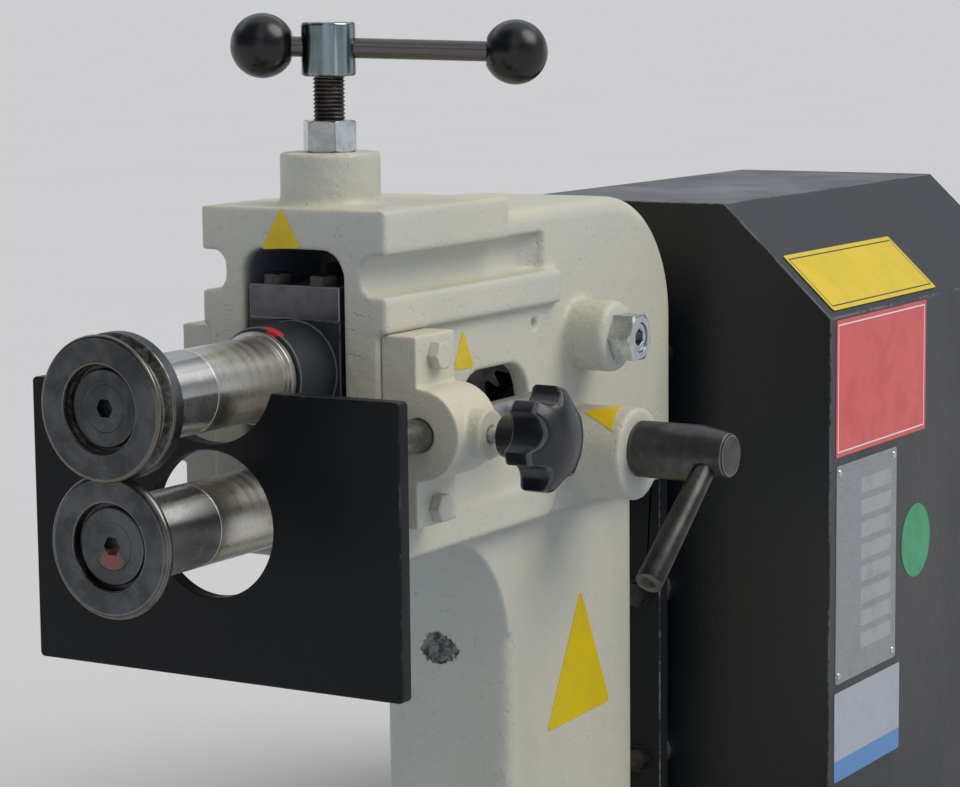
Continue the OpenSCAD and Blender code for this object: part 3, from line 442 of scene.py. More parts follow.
def blued_tool_steel(name, centre, groove=None, dab=None, rub=0.5):
    """Blackened steel with rubbed edges. Groove is the stretch along Y, in metres, where it is worn."""
    made, tree, shader, place = finish_of(name, 0.42, 1.0)
    lines = lathe_lines(tree, place, centre, ALONG_Y, 2600.0, 420.0)
    marks = scuffs(tree, place, 85.0, 0.45)
    blotch = noise(tree, place, 55.0, 6.0, 0.68)
    blue, grey, oily, bare = rgb(76, 79, 83), rgb(106, 109, 112), rgb(58, 60, 63), rgb(160, 160, 158)
    tone = mixed(tree, span(tree, blotch, 0.38, 0.62), blue, grey)
    tone = mixed(tree, span(tree, marks["Smears"], 0.55, 0.7, 0.0, 0.6), tone, oily)
    tone = mixed(tree, times(tree, marks["Scratches"], 0.5), tone, bare)
    if groove:
        y = put(tree, "ShaderNodeSeparateXYZ", None, {0: place}).outputs["Y"]
        inside = between(tree, y, groove[0], groove[1])
        rust = rgb(134, 122, 102)
        spots = span(tree, noise(tree, place, 300.0, 4.0, 0.65), 0.4, 0.66, 0.1, 0.75)
        rusty = times(tree, inside, spots)
        tone = mixed(tree, rusty, tone, rust)
        tree.links.new(minus(tree, 1.0, rusty), shader.inputs["Metallic"])
    edge = worn_edge(tree, place, 130.0, 0.62)
    rubbed = rgb(136, 130, 118)
    tone = mixed(tree, times(tree, edge, rub), tone, rubbed)
    polish = times(tree, edge, rub * 0.28)
    rough = minus(tree, span(tree, blotch, 0.3, 0.7, 0.36, 0.52), polish)
    if dab:
        spot, squash, reach, colour = dab
        paint = blot_mask(tree, place, spot, squash, reach, ragged=0.003, grain=300.0)
        tone = mixed(tree, paint, tone, colour)
        tree.links.new(minus(tree, 1.0, paint), shader.inputs["Metallic"])
    coat(tree, shader, tone, rough)
    height = plus(tree, lines["Height"], times(tree, blotch, 0.6))
    bump(tree, shader, height, 0.22, 0.00012)
    return made


def plain_steel(name, dark, light, rough, grain=260.0, depth=0.00008):
    made, tree, shader, place = finish_of(name, rough, 1.0)
    skin = cast_skin(tree, place, grain * 3.0, grain * 0.4)
    marks = scuffs(tree, place, 90.0, 0.35)
    cloud = span(tree, noise(tree, place, grain * 0.35, 5.0, 0.65), 0.35, 0.68)
    tone = mixed(tree, cloud, dark, light)
    tone = mixed(tree, times(tree, marks["Scratches"], 0.4), tone, scaled(light, 2.0))
    edge = worn_edge(tree, place, 260.0, 0.7)
    tone = mixed(tree, times(tree, edge, 0.6), tone, scaled(light, 2.4))
    coat(tree, shader, tone, span(tree, marks["Smears"], 0.3, 0.72, rough - 0.06, rough + 0.12))
    bump(tree, shader, skin["Height"], 0.3, depth)
    return made


def zinc_coat(name):
    made, tree, shader, place = finish_of(name, 0.24, 1.0)
    cloud = noise(tree, place, 130.0, 4.0, 0.6)
    blue, white = rgb(176, 184, 190), rgb(216, 220, 222)
    green, rubbed = rgb(196, 204, 190), rgb(150, 150, 150)
    tone = mixed(tree, span(tree, cloud, 0.35, 0.66), blue, white)
    tint = span(tree, noise(tree, place, 60.0, 2.0, 0.5), 0.5, 0.7, 0.0, 0.35)
    tone = mixed(tree, tint, tone, green)
    edge = worn_edge(tree, place, 300.0, 0.6)
    tone = mixed(tree, edge, tone, rubbed)
    coat(tree, shader, tone, span(tree, cloud, 0.3, 0.7, 0.2, 0.34))
    bump(tree, shader, noise(tree, place, 900.0, 3.0, 0.6), 0.12, 0.00006)
    return made


def hub_with_painted_reflections(name):
    """Plated steel with painted reflections: dark, blue and bright streaks along its height stand in for the
    room it reflects. Brown patches tint it.
    """
    made, tree, shader, place = finish_of(name, 0.2, 1.0)
    long = stretched(tree, place, (1.0, 1.0, 0.04))
    reflection_streaks = noise(tree, long, 150.0, 3.0, 0.6)
    dark, blue, bright, brown = rgb(60, 64, 65), rgb(142, 156, 160), rgb(196, 204, 206), rgb(104, 106, 90)
    # Painted reflections: dark, blue and bright bands along the height.
    tone = mixed(tree, span(tree, reflection_streaks, 0.36, 0.5), dark, blue)
    tone = mixed(tree, span(tree, reflection_streaks, 0.56, 0.64), tone, bright)
    tint = span(tree, noise(tree, place, 55.0, 2.0, 0.5), 0.46, 0.62, 0.0, 0.4)
    tone = mixed(tree, tint, tone, brown)
    coat(tree, shader, tone, span(tree, reflection_streaks, 0.35, 0.65, 0.26, 0.16))
    bump(tree, shader, noise(tree, place, 800.0, 3.0, 0.6), 0.1, 0.00005)
    return made


def moulded_black(name, shade, rough, grain, depth, scuffed):
    made, tree, shader, place = finish_of(name, rough)
    marks = scuffs(tree, place, 150.0, 0.5)
    scratch = times(tree, marks["Scratches"], scuffed)
    pale, rubbed = rgb(150, 150, 150), rgb(110, 110, 112)
    tone = mixed(tree, scratch, shade, pale)
    edge = worn_edge(tree, place, 320.0, 0.55)
    tone = mixed(tree, times(tree, edge, scuffed * 0.6), tone, rubbed)
    wiped = span(tree, marks["Smears"], 0.35, 0.72, rough * 0.8, rough * 1.35)
    coat(tree, shader, tone, plus(tree, wiped, times(tree, marks["Scratches"], 0.2)))
    bump(tree, shader, noise(tree, place, grain, 2.0, 0.5), 0.2, depth)
    return made


def face_parts(tree):
    """A label's own map, in metres from its middle, and its parts across and up."""
    uv = put(tree, "ShaderNodeUVMap", {"uv_map": "face"}).outputs["UV"]
    parts = put(tree, "ShaderNodeSeparateXYZ", None, {0: uv}).outputs
    return uv, parts["X"], parts["Y"]


def film_ground(tree, place, colour):
    """Printed colour that has faded a little and holds some dust."""
    fade = span(tree, noise(tree, place, 45.0, 4.0, 0.6), 0.35, 0.7)
    ground = mixed(tree, fade, colour, scaled(colour, 0.88))
    grit = span(tree, noise(tree, place, 760.0, 2.0, 0.5), 0.7, 0.78, 0.0, 0.3)
    return mixed(tree, grit, ground, scaled(colour, 0.5)), fade


def plain_film(name, colour, rough=0.36):
    made, tree, shader, place = finish_of(name, rough)
    ground, fade = film_ground(tree, place, colour)
    coat(tree, shader, ground, span(tree, fade, 0.0, 1.0, rough - 0.06, rough + 0.08))
    bump(tree, shader, noise(tree, place, 500.0, 2.0, 0.5), 0.08, 0.0001)
    return made


def lined_film(name, colour, line, size, inset, stroke, rough=0.34):
    """A film with one thin line round it."""
    made, tree, shader, place = finish_of(name, rough)
    across, up = face_parts(tree)[1:]
    room_x = minus(tree, size[0] / 2 - inset, maths(tree, "ABSOLUTE", across))
    room_y = minus(tree, size[1] / 2 - inset, maths(tree, "ABSOLUTE", up))
    band = between(tree, maths(tree, "MINIMUM", room_x, room_y), 0.0, stroke)
    ground, fade = film_ground(tree, place, colour)
    tone = mixed(tree, band, ground, line)
    coat(tree, shader, tone, span(tree, fade, 0.0, 1.0, rough - 0.06, rough + 0.08))
    bump(tree, shader, noise(tree, place, 420.0, 2.0, 0.5), 0.08, 0.0001)
    return made


def ruled_plate(name):
    """Bare aluminium with raised blank fields."""
    made, tree, shader, place = finish_of(name, 0.36, 0.9)
    uv, across, up = face_parts(tree)
    row_pitch, field_left, field_right, field_reach = 0.0132, -0.008, 0.036, 0.053
    row = maths(tree, "FRACT", maths(tree, "DIVIDE", plus(tree, up, 0.5), row_pitch))
    in_row = between(tree, row, 0.16, 0.84)
    in_width = between(tree, across, field_left, field_right)
    in_field = times(tree, in_width, between(tree, up, -field_reach, field_reach))
    field = times(tree, in_row, in_field)
    brushed = noise(tree, stretched(tree, uv, (1.0, 26.0, 1.0)), 90.0, 3.0, 0.6)
    dark, light, raised, dull = rgb(146, 149, 153), rgb(172, 175, 178), rgb(196, 198, 200), rgb(132, 133, 134)
    tone = mixed(tree, span(tree, brushed, 0.3, 0.7), dark, light)
    tone = mixed(tree, times(tree, field, 0.55), tone, raised)
    smear = span(tree, noise(tree, place, 60.0, 4.0, 0.62), 0.5, 0.75, 0.0, 0.4)
    tone = mixed(tree, smear, tone, dull)
    coat(tree, shader, tone, span(tree, brushed, 0.3, 0.7, 0.3, 0.46))
    bump(tree, shader, plus(tree, field, times(tree, brushed, 0.25)), 0.3, 0.0002)
    return made


def two_tone_film(name, upper, lower, split):
    """A film of two colours, parted by a level line."""
    made, tree, shader, place = finish_of(name, 0.3)
    up = face_parts(tree)[2]
    fade = span(tree, noise(tree, place, 45.0, 3.0, 0.6), 0.35, 0.7, 0.0, 0.22)
    tone = mixed(tree, maths(tree, "LESS_THAN", up, split), upper, lower)
    faded = rgb(140, 142, 146)
    tone = mixed(tree, fade, tone, faded)
    coat(tree, shader, tone, span(tree, fade, 0.0, 0.22, 0.26, 0.4))
    bump(tree, shader, noise(tree, place, 420.0, 2.0, 0.5), 0.08, 0.0001)
    return made


CREAM_CAST = cream_enamel("cream_on_casting", edge_radius=0.0022, chip_and_cavity_shade=True)
CREAM_SMALL = cream_enamel("cream_on_small_parts", edge_radius=0.0014, depth=0.0008)

STOP_BLACK = black_enamel("satin_black_plate", rgb(14, 16, 18), rgb(54, 56, 60), rough=0.36, grain=900.0,
                          depth=0.00025, wear=0.44, shine=0.22)
CASING_BLACK = black_enamel("textured_black_casing", rgb(21, 24, 28), rgb(86, 88, 92), rough=0.36,
                            grain=1500.0, depth=0.0003, wear=0.48, shine=0.5)
BASE_BLACK = black_enamel("black_base_paint", rgb(30, 32, 34), rgb(100, 100, 100), rough=0.5, grain=700.0,
                          depth=0.0006, wear=0.5)
RED_MARK = (at(8.0, -27.0, SHAFT_GAP + 23.1), (0.62, 1.5, 0.5), 0.0036, rgb(188, 40, 34))
CARRIER_BLACK = black_enamel("oiled_black_block", rgb(36, 39, 42), rgb(92, 94, 96), rough=0.42, grain=800.0,
                             depth=0.0003, wear=0.6, shine=0.5, dab=RED_MARK)
MOTOR_PAINT = black_enamel("motor_enamel", rgb(92, 102, 112), rgb(150, 152, 154), rough=0.46, grain=600.0,
                           depth=0.0004, wear=0.5)


def ground_shaft(name, axis_point):
    return bright_turned(name, rgb(222, 218, 210), rgb(168, 150, 122), rough=0.3, stained=0.5,
                         centre=axis_point, axis=ALONG_Y)


def polished_spacer(name, axis_point):
    return bright_turned(name, rgb(198, 198, 196), rgb(160, 149, 128), rough=0.26, stained=0.22,
                         centre=axis_point, axis=ALONG_Y, drawn=0.92)


UPPER_SHAFT = ground_shaft("ground_upper_shaft", UPPER_AXIS)
LOWER_SHAFT = ground_shaft("ground_lower_shaft", LOWER_AXIS)
UPPER_SPACER = polished_spacer("polished_upper_spacer", UPPER_AXIS)
LOWER_SPACER = polished_spacer("polished_lower_spacer", LOWER_AXIS)
HUB_PAINTED_REFLECTIONS = hub_with_painted_reflections("plated_hub_painted_reflections")

GROOVE_FRONT, GROOVE_BACK = -149.3, -140.8
UPPER_GROOVE = (at(0, GROOVE_FRONT, 0).y, at(0, GROOVE_BACK, 0).y)
UPPER_ROLL = blued_tool_steel("blackened_upper_roll", UPPER_AXIS, groove=UPPER_GROOVE)
LOWER_ROLL = blued_tool_steel("blackened_lower_roll", LOWER_AXIS)
UPPER_CAP = blued_tool_steel("blackened_upper_cap", UPPER_AXIS, rub=0.1)
LOWER_CAP = blued_tool_steel("blackened_lower_cap", LOWER_AXIS, rub=0.1)
PAINT_DAB = (at(0.0, -146.0, -7.0), (1.25, 0.1, 1.35), 0.0080, rgb(126, 80, 66))
MARKED_SCREW = blued_tool_steel("marked_screw_head", LOWER_AXIS, dab=PAINT_DAB, rub=0.1)

CHARCOAL = plain_steel("charcoal_bar", rgb(112, 112, 115), rgb(130, 129, 131), rough=0.52, grain=200.0,
                       depth=0.00015)
GUNMETAL = plain_steel("gunmetal_hub", rgb(78, 78, 79), rgb(96, 95, 94), rough=0.42, grain=300.0)
LEVER_DARK = plain_steel("lever_rod_steel", rgb(58, 58, 57), rgb(78, 77, 75), rough=0.34, grain=240.0)
BOLT_DARK = plain_steel("dark_bolt", rgb(70, 71, 72), rgb(98, 98, 98), rough=0.42, grain=380.0)
THREAD_BROWN = plain_steel("oily_thread", rgb(66, 62, 61), rgb(102, 96, 92), rough=0.36, grain=420.0)
DRAWN_ROD = plain_steel("drawn_rod", rgb(120, 119, 117), rgb(160, 158, 154), rough=0.3, grain=220.0)
GEAR_STEEL = plain_steel("cut_gear_steel", rgb(120, 120, 120), rgb(160, 158, 154), rough=0.34, grain=300.0)
BRONZE = plain_steel("bearing_bronze", rgb(150, 112, 58), rgb(184, 142, 82), rough=0.32, grain=300.0)
ALLOY = plain_steel("cast_alloy", rgb(150, 152, 154), rgb(178, 180, 181), rough=0.5, grain=160.0,
                    depth=0.0003)
ZINC = zinc_coat("zinc_plated")

BALL_BLACK = moulded_black("phenolic_ball", rgb(14, 15, 17), rough=0.24, grain=300.0,
                           depth=0.00003, scuffed=0.3)
KNOB_BLACK = moulded_black("moulded_knob", rgb(27, 29, 33), rough=0.24, grain=1200.0,
                           depth=0.0001, scuffed=0.75)
GLAND_BLACK = moulded_black("gland_plastic", rgb(30, 31, 32), rough=0.42, grain=900.0,
                            depth=0.0001, scuffed=0.2)
YELLOW_FILM = plain_film("yellow_film", rgb(218, 188, 6))
GREEN_FILM = plain_film("green_film", rgb(44, 146, 98))


# Shape tools

def link(name, mesh):
    made = bpy.data.objects.new(name, mesh)
    scene.collection.objects.link(made)
    return made


def smooth(mesh, crease=32.0):
    mesh.polygons.foreach_set("use_smooth", [True] * len(mesh.polygons))
    mesh.set_sharp_from_angle(angle=math.radians(crease))
    mesh.update()


def settle(piece, body, finish, stands_for=()):
    piece.data.materials.clear()
    piece.data.materials.append(finish)
    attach(piece, body)
    if stands_for:
        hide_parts(*stands_for)
    return piece


def body_of_node(node):
    bodies = frame["record"]["behaviour"]["bodies"]
    return next(body for body, members in bodies.items() if node in members)


def stand_in(piece, node, finish):
    return settle(piece, body_of_node(node), finish, [node])


def beside(piece, node, finish):
    """A piece of the scene's own that goes with a solid and stands for none."""
    return settle(piece, body_of_node(node), finish)


def clean_copy(node):
    """A copy of a solid's mesh with the triangles of its flat faces joined."""
    shell = bmesh.new()
    shell.from_mesh(frame["nodes"][node].data)
    bmesh.ops.remove_doubles(shell, verts=shell.verts, dist=2e-6)
    bmesh.ops.dissolve_limit(shell, angle_limit=math.radians(0.6), verts=shell.verts, edges=shell.edges,
                             delimit={"NORMAL"})
    mesh = bpy.data.meshes.new(node + "_plain")
    shell.to_mesh(mesh)
    shell.free()
    mesh.materials.clear()
    for layer in list(mesh.uv_layers):
        mesh.uv_layers.remove(layer)
    return mesh


def softened(node, width, angle=28.0, segments=3):
    """A copy of a solid with rounded edges. The rounded faces are marked as worn."""
    mesh = clean_copy(node)
    mesh.materials.append(None)
    mesh.materials.append(None)
    mesh.polygons.foreach_set("material_index", [0] * len(mesh.polygons))
    mesh.polygons.foreach_set("use_smooth", [True] * len(mesh.polygons))
    blank = link(node + "_plain", mesh)
    edge = blank.modifiers.new("edge", "BEVEL")
    edge.width = width * MM
    edge.segments = segments
    edge.limit_method = "ANGLE"
    edge.angle_limit = math.radians(angle)
    edge.use_clamp_overlap = False
    edge.material = 1
    flat = blank.modifiers.new("weighted", "WEIGHTED_NORMAL")
    flat.keep_sharp = True
    flat.weight = 80
    made = bpy.data.meshes.new_from_object(blank.evaluated_get(bpy.context.evaluated_depsgraph_get()))
    made.name = node + "_skin"
    bpy.data.objects.remove(blank)
    worn = []
    for face in made.polygons:
        worn.extend([float(face.material_index == 1)] * face.loop_total)
    made.attributes.new("wear", "FLOAT", "CORNER").data.foreach_set("value", worn)
    made.polygons.foreach_set("material_index", [0] * len(made.polygons))
    return link(node + "_skin", made)


def cast_skin_of(node, finish, grain, passes, kept):
    """A copy of a solid with the soft edges and corners of a casting, rebuilt on a grid and eased."""
    blank = link(node + "_plain", clean_copy(node))
    grid = blank.modifiers.new("grid", "REMESH")
    grid.mode = "VOXEL"
    grid.voxel_size = grain * MM
    ease = blank.modifiers.new("ease", "SMOOTH")
    ease.factor = 0.5
    ease.iterations = passes
    thin = blank.modifiers.new("thin", "DECIMATE")
    thin.ratio = kept
    made = bpy.data.meshes.new_from_object(blank.evaluated_get(bpy.context.evaluated_depsgraph_get()))
    bpy.data.objects.remove(blank)
    smooth(made, 60.0)
    return stand_in(link(node + "_skin", made), node, finish)


def soften(node, width, finish, angle=28.0, segments=3):
    return stand_in(softened(node, width, angle, segments), node, finish)


def paint(node, finish):
    """Gives a solid that needs no more shape its finish."""
    materials = frame["nodes"][node].data.materials
    materials.clear()
    materials.append(finish)


def ring_mesh(name, rings, wear):
    """A closed skin over rings of points, from one pole to the other. A pole is a ring of one point."""
    verts = [point for ring in rings for point in ring]
    starts = [sum(len(ring) for ring in rings[:i]) for i in range(len(rings))]
    faces = []
    for i in range(len(rings) - 1):
        lower, upper = len(rings[i]), len(rings[i + 1])
        count = max(lower, upper)
        for k in range(count):
            n = (k + 1) % count
            loop = [starts[i] + k % lower, starts[i] + n % lower,
                    starts[i + 1] + n % upper, starts[i + 1] + k % upper]
            faces.append(list(dict.fromkeys(loop)))
    mesh = bpy.data.meshes.new(name)
    mesh.from_pydata(verts, [], faces)
    spread = [w for ring, w in zip(rings, wear) for point in ring]
    mesh.attributes.new("wear", "FLOAT", "POINT").data.foreach_set("value", spread)
    shell = bmesh.new()
    shell.from_mesh(mesh)
    bmesh.ops.recalc_face_normals(shell, faces=shell.faces)
    shell.to_mesh(mesh)
    shell.free()
    smooth(mesh)
    return link(name, mesh)


def turned(name, start, along, profile, around=96):
    """A turned piece: profile points (radius, length, worn) in millimetres from start along an axis."""
    turn = Vector(along).normalized().to_track_quat("Z", "Y").to_matrix()
    rings = []
    for radius, length, worn in profile:
        count = 1 if radius < 1e-6 else around
        angles = [2 * math.pi * k / around for k in range(count)]
        spokes = [Vector((radius * math.cos(a), radius * math.sin(a), length)) for a in angles]
        rings.append([start + turn @ spoke * MM for spoke in spokes])
    return ring_mesh(name, rings, [worn for radius, length, worn in profile])


# Repeated and screwed pieces, grown with geometry nodes

AROUND = 48
CHAMFER_START, CHAMFER_SPREAD = 0.475, 1.9
RIDGE_SHARE = 0.47


def new_tree(name, takes):
    tree = bpy.data.node_groups.new(name, "GeometryNodeTree")
    tree.interface.new_socket("Geometry", in_out="INPUT", socket_type="NodeSocketGeometry")
    for kind, label in takes:
        tree.interface.new_socket(label, in_out="INPUT", socket_type=kind)
    tree.interface.new_socket("Geometry", in_out="OUTPUT", socket_type="NodeSocketGeometry")
    return tree, tree.nodes.new("NodeGroupInput").outputs, tree.nodes.new("NodeGroupOutput").inputs


def end_tree(tree, geometry, material, give):
    """Every tree ends in plain, painted geometry."""
    real = put(tree, "GeometryNodeRealizeInstances", None, {"Geometry": geometry}).outputs[0]
    done = put(tree, "GeometryNodeSetMaterial", None, {"Geometry": real, "Material": material}).outputs[0]
    tree.links.new(done, give["Geometry"])


def on_points(tree, take, shape):
    """Copies of a shape that stand up along Z, turned at each point by its own angles."""
    angles = put(tree, "GeometryNodeInputNamedAttribute", {"data_type": "FLOAT_VECTOR"},
                 {"Name": "turn"}).outputs[0]
    turn = put(tree, "FunctionNodeEulerToRotation", None, {0: angles}).outputs[0]
    inputs = {"Points": take["Geometry"], "Instance": shape, "Rotation": turn}
    return put(tree, "GeometryNodeInstanceOnPoints", None, inputs).outputs[0]


def lifted(tree, shape, height):
    half = times(tree, height, 0.5)
    lift = put(tree, "ShaderNodeCombineXYZ", None, {"Z": half}).outputs[0]
    return put(tree, "GeometryNodeTransform", None, {"Geometry": shape, "Translation": lift}).outputs[0]


def build_hexagons(name, bored):
    """Hexagon heads or bored nuts with a chamfer: a six-sided bar cut by a wide cone."""
    takes = [(FLOAT, "Across"), (FLOAT, "Height"), (FLOAT, "Bore"), ("NodeSocketMaterial", "Material")]
    tree, take, give = new_tree(name, takes)
    corner = maths(tree, "DIVIDE", take["Across"], math.sqrt(3.0))
    bar = put(tree, "GeometryNodeMeshCylinder", None,
              {"Vertices": 6, "Radius": corner, "Depth": take["Height"]}).outputs["Mesh"]
    top = times(tree, take["Across"], CHAMFER_START)
    slope = plus(tree, top, times(tree, take["Height"], CHAMFER_SPREAD))
    sizes = {"Vertices": AROUND, "Radius Top": top, "Radius Bottom": slope, "Depth": take["Height"]}
    cone = put(tree, "GeometryNodeMeshCone", None, sizes).outputs["Mesh"]
    cut = put(tree, "GeometryNodeMeshBoolean", {"operation": "INTERSECT", "solver": "EXACT"})
    tree.links.new(lifted(tree, bar, take["Height"]), cut.inputs["Mesh 2"])
    tree.links.new(cone, cut.inputs["Mesh 2"])
    shape = cut.outputs["Mesh"]
    if bored:
        depth = times(tree, take["Height"], 4.0)
        core = put(tree, "GeometryNodeMeshCylinder", None,
                   {"Vertices": AROUND, "Radius": take["Bore"], "Depth": depth})
        drill = put(tree, "GeometryNodeMeshBoolean", {"operation": "DIFFERENCE", "solver": "EXACT"},
                    {"Mesh 1": shape})
        tree.links.new(core.outputs["Mesh"], drill.inputs["Mesh 2"])
        shape = drill.outputs["Mesh"]
    end_tree(tree, on_points(tree, take, shape), take["Material"], give)
    return tree


def build_domed_heads():
    """Low round heads, for rivets and small screws."""
    takes = [(FLOAT, "Across"), (FLOAT, "Height"), ("NodeSocketMaterial", "Material")]
    tree, take, give = new_tree("domed_heads", takes)
    radius = times(tree, take["Across"], 0.5)
    ball = put(tree, "GeometryNodeMeshUVSphere", None,
               {"Segments": 32, "Rings": 16, "Radius": radius}).outputs["Mesh"]
    flat = maths(tree, "DIVIDE", take["Height"], radius)
    squash = put(tree, "ShaderNodeCombineXYZ", None, {"X": 1.0, "Y": 1.0, "Z": flat}).outputs[0]
    dome = put(tree, "GeometryNodeTransform", None, {"Geometry": ball, "Scale": squash}).outputs[0]
    soft = put(tree, "GeometryNodeSetShadeSmooth", None, {"Geometry": dome}).outputs[0]
    end_tree(tree, on_points(tree, take, soft), take["Material"], give)
    return tree


def build_thread():
    """A screw thread: a ridge wound round a core."""
    takes = [(FLOAT, "Radius"), (FLOAT, "Pitch"), (FLOAT, "Length"), ("NodeSocketMaterial", "Material")]
    tree, take, give = new_tree("wound_thread", takes)
    ridge = times(tree, take["Pitch"], RIDGE_SHARE)
    middle = minus(tree, take["Radius"], ridge)
    turns = maths(tree, "DIVIDE", take["Length"], take["Pitch"])
    wind = put(tree, "GeometryNodeCurveSpiral", None,
               {"Resolution": 40, "Rotations": turns, "Start Radius": middle, "End Radius": middle,
                "Height": take["Length"]}).outputs[0]
    upright = put(tree, "GeometryNodeSetCurveNormal", {"mode": "Z_UP"}, {"Curve": wind}).outputs[0]
    edge = put(tree, "GeometryNodeCurvePrimitiveCircle", None, {"Resolution": 4, "Radius": ridge}).outputs[0]
    wound = put(tree, "GeometryNodeCurveToMesh", None,
                {"Curve": upright, "Profile Curve": edge, "Fill Caps": True}).outputs[0]
    core = put(tree, "GeometryNodeMeshCylinder", None,
               {"Vertices": AROUND, "Radius": middle, "Depth": take["Length"]}).outputs["Mesh"]
    joined = tree.nodes.new("GeometryNodeJoinGeometry")
    tree.links.new(wound, joined.inputs[0])
    tree.links.new(lifted(tree, core, take["Length"]), joined.inputs[0])
    end_tree(tree, on_points(tree, take, joined.outputs[0]), take["Material"], give)
    return tree


HEX_HEADS = build_hexagons("hexagon_heads", False)
HEX_NUTS = build_hexagons("hexagon_nuts", True)
DOMED_HEADS = build_domed_heads()
THREAD = build_thread()


def grown(name, tree, spots, values):
    """Runs a tree on points with a place and a direction each, and keeps the result as a plain mesh."""
    seed = bpy.data.meshes.new(name + "_seed")
    seed.from_pydata([place for place, along in spots], [], [])
    angles = [a for place, along in spots for a in Vector(along).to_track_quat("Z", "Y").to_euler()]
    seed.attributes.new("turn", "FLOAT_VECTOR", "POINT").data.foreach_set("vector", angles)
    holder = link(name + "_seed", seed)
    growth = holder.modifiers.new("growth", "NODES")
    growth.node_group = tree
    for item in tree.interface.items_tree:
        if item.name in values:
            growth[item.identifier] = values[item.name]
    made = bpy.data.meshes.new_from_object(holder.evaluated_get(bpy.context.evaluated_depsgraph_get()))
    made.name = name
    bpy.data.objects.remove(holder)
    return link(name, made)


def heads(name, tree, spots, across, height, finish, bore=0.0):
    values = {"Across": across * MM, "Height": height * MM, "Bore": bore * MM, "Material": finish}
    return grown(name, tree, spots, values)


def both_sides(x, y, z):
    """The same spot on the right and left side, each facing outwards."""
    return [(at(x, y, z), ALONG_X), (at(-x, y, z), -ALONG_X)]


# Cast frame, stop and drive

def dress_frame():
    cast_skin_of("frame_casting", CREAM_CAST, grain=1.4, passes=7, kept=0.25)
    soften("base_plate", 1.2, BASE_BLACK)
    soften("drive_plate", 0.8, BASE_BLACK)
    soften("drive_casing", 0.8, CASING_BLACK)
    soften("rear_cover", 0.4, CASING_BLACK)
    for side in ("right", "left"):
        cast_skin_of("bracket_" + side, CREAM_SMALL, grain=0.8, passes=6, kept=0.4)
    soften("stop_plate", 0.8, STOP_BLACK)
    soften("gearbox_housing", 1.5, ALLOY)
    soften("motor_body", 0.5, MOTOR_PAINT)
    soften("motor_fan_cover", 0.4, MOTOR_PAINT)
    soften("cable_glands", 0.5, GLAND_BLACK)
    soften("stop_rods", 0.8, DRAWN_ROD)
    for node in ("lower_front_bush", "lower_rear_bush", "shift_collar"):
        paint(node, BRONZE)
    paint("motor_fan", GLAND_BLACK)
    paint("output_sleeve", GEAR_STEEL)


# Bolts, nuts and screws

M8_ACROSS, BRACKET_HEAD, CAP_HEAD = 13.0, 5.5, 5.3
PIVOT_NUT_ACROSS, PIVOT_NUT_HEIGHT, PIVOT_NUT_BORE = 24.0, 13.0, 8.1


def dress_fasteners():
    spots = [spot for z in BRACKET_BOLT_Z for spot in both_sides(BRACKET_SIDE, BRACKET_Y, z)]
    bolts = heads("bracket_bolt_heads", HEX_HEADS, spots, M8_ACROSS, BRACKET_HEAD, CREAM_SMALL)
    stand_in(bolts, "bracket_bolts", CREAM_SMALL)
    spots = [(at(x, y, CAP_TOP), ALONG_Z) for x in (-CAP_BOLT_X, CAP_BOLT_X) for y in CAP_BOLT_Y]
    bolts = heads("cap_bolt_heads", HEX_HEADS, spots, M8_ACROSS, CAP_HEAD, BOLT_DARK)
    stand_in(bolts, "cap_bolts", BOLT_DARK)
    spots = both_sides(PIVOT_BOSS, PIVOT_Y, SHAFT_GAP)
    nuts = heads("pivot_nuts", HEX_NUTS, spots, PIVOT_NUT_ACROSS, PIVOT_NUT_HEIGHT, ZINC, PIVOT_NUT_BORE)
    stand_in(nuts, "pivot_lock_nuts", ZINC)
    soften("pivot_screws", 0.5, ZINC)
    soften("screw_lock_nut", 0.3, ZINC)
    paint("foot_bolts", ZINC)
    for node in ("drive_plate_bolts", "casing_screws"):
        paint(node, BOLT_DARK)
    for side in ("right", "left"):
        paint("clamp_stud_" + side, ZINC)
        paint("clamp_pad_" + side, BRONZE)


# Adjusting screw with its sliding bar

BAR_Z = 219.7
BAR_TURN, BAR_DIP = math.radians(31.0), math.radians(2.0)
BAR_LEVEL = math.cos(BAR_DIP)
BAR_WAY = Vector((math.cos(BAR_TURN) * BAR_LEVEL, math.sin(BAR_TURN) * BAR_LEVEL, -math.sin(BAR_DIP)))
BAR_MIDDLE = at(0, SCREW_Y, BAR_Z)
BALL_R, BALL_MOUTH, BALL_NEAR, BALL_FAR = 16.0, 7.0, 32.4, 92.3
BAR_R = 5.0
THREAD_FOOT, THREAD_TOP = 152.4, 205.6
SCREW_R, SCREW_PITCH = 8.0, 2.0


def ball_profile():
    """A ball with a flat ring where the bar goes in, from the ring to the far pole."""
    first = math.asin(BALL_MOUTH / BALL_R)
    steps = 40
    angles = [first + (math.pi - first) * k / steps for k in range(steps + 1)]
    skin = [(BALL_R * math.sin(a), BALL_R * (math.cos(first) - math.cos(a)), 0.0) for a in angles]
    return [(BAR_R + 0.05, 0.6, 0.0), (BAR_R + 0.4, 0.0, 1.0), (BALL_MOUTH - 0.5, 0.0, 1.0)] + skin


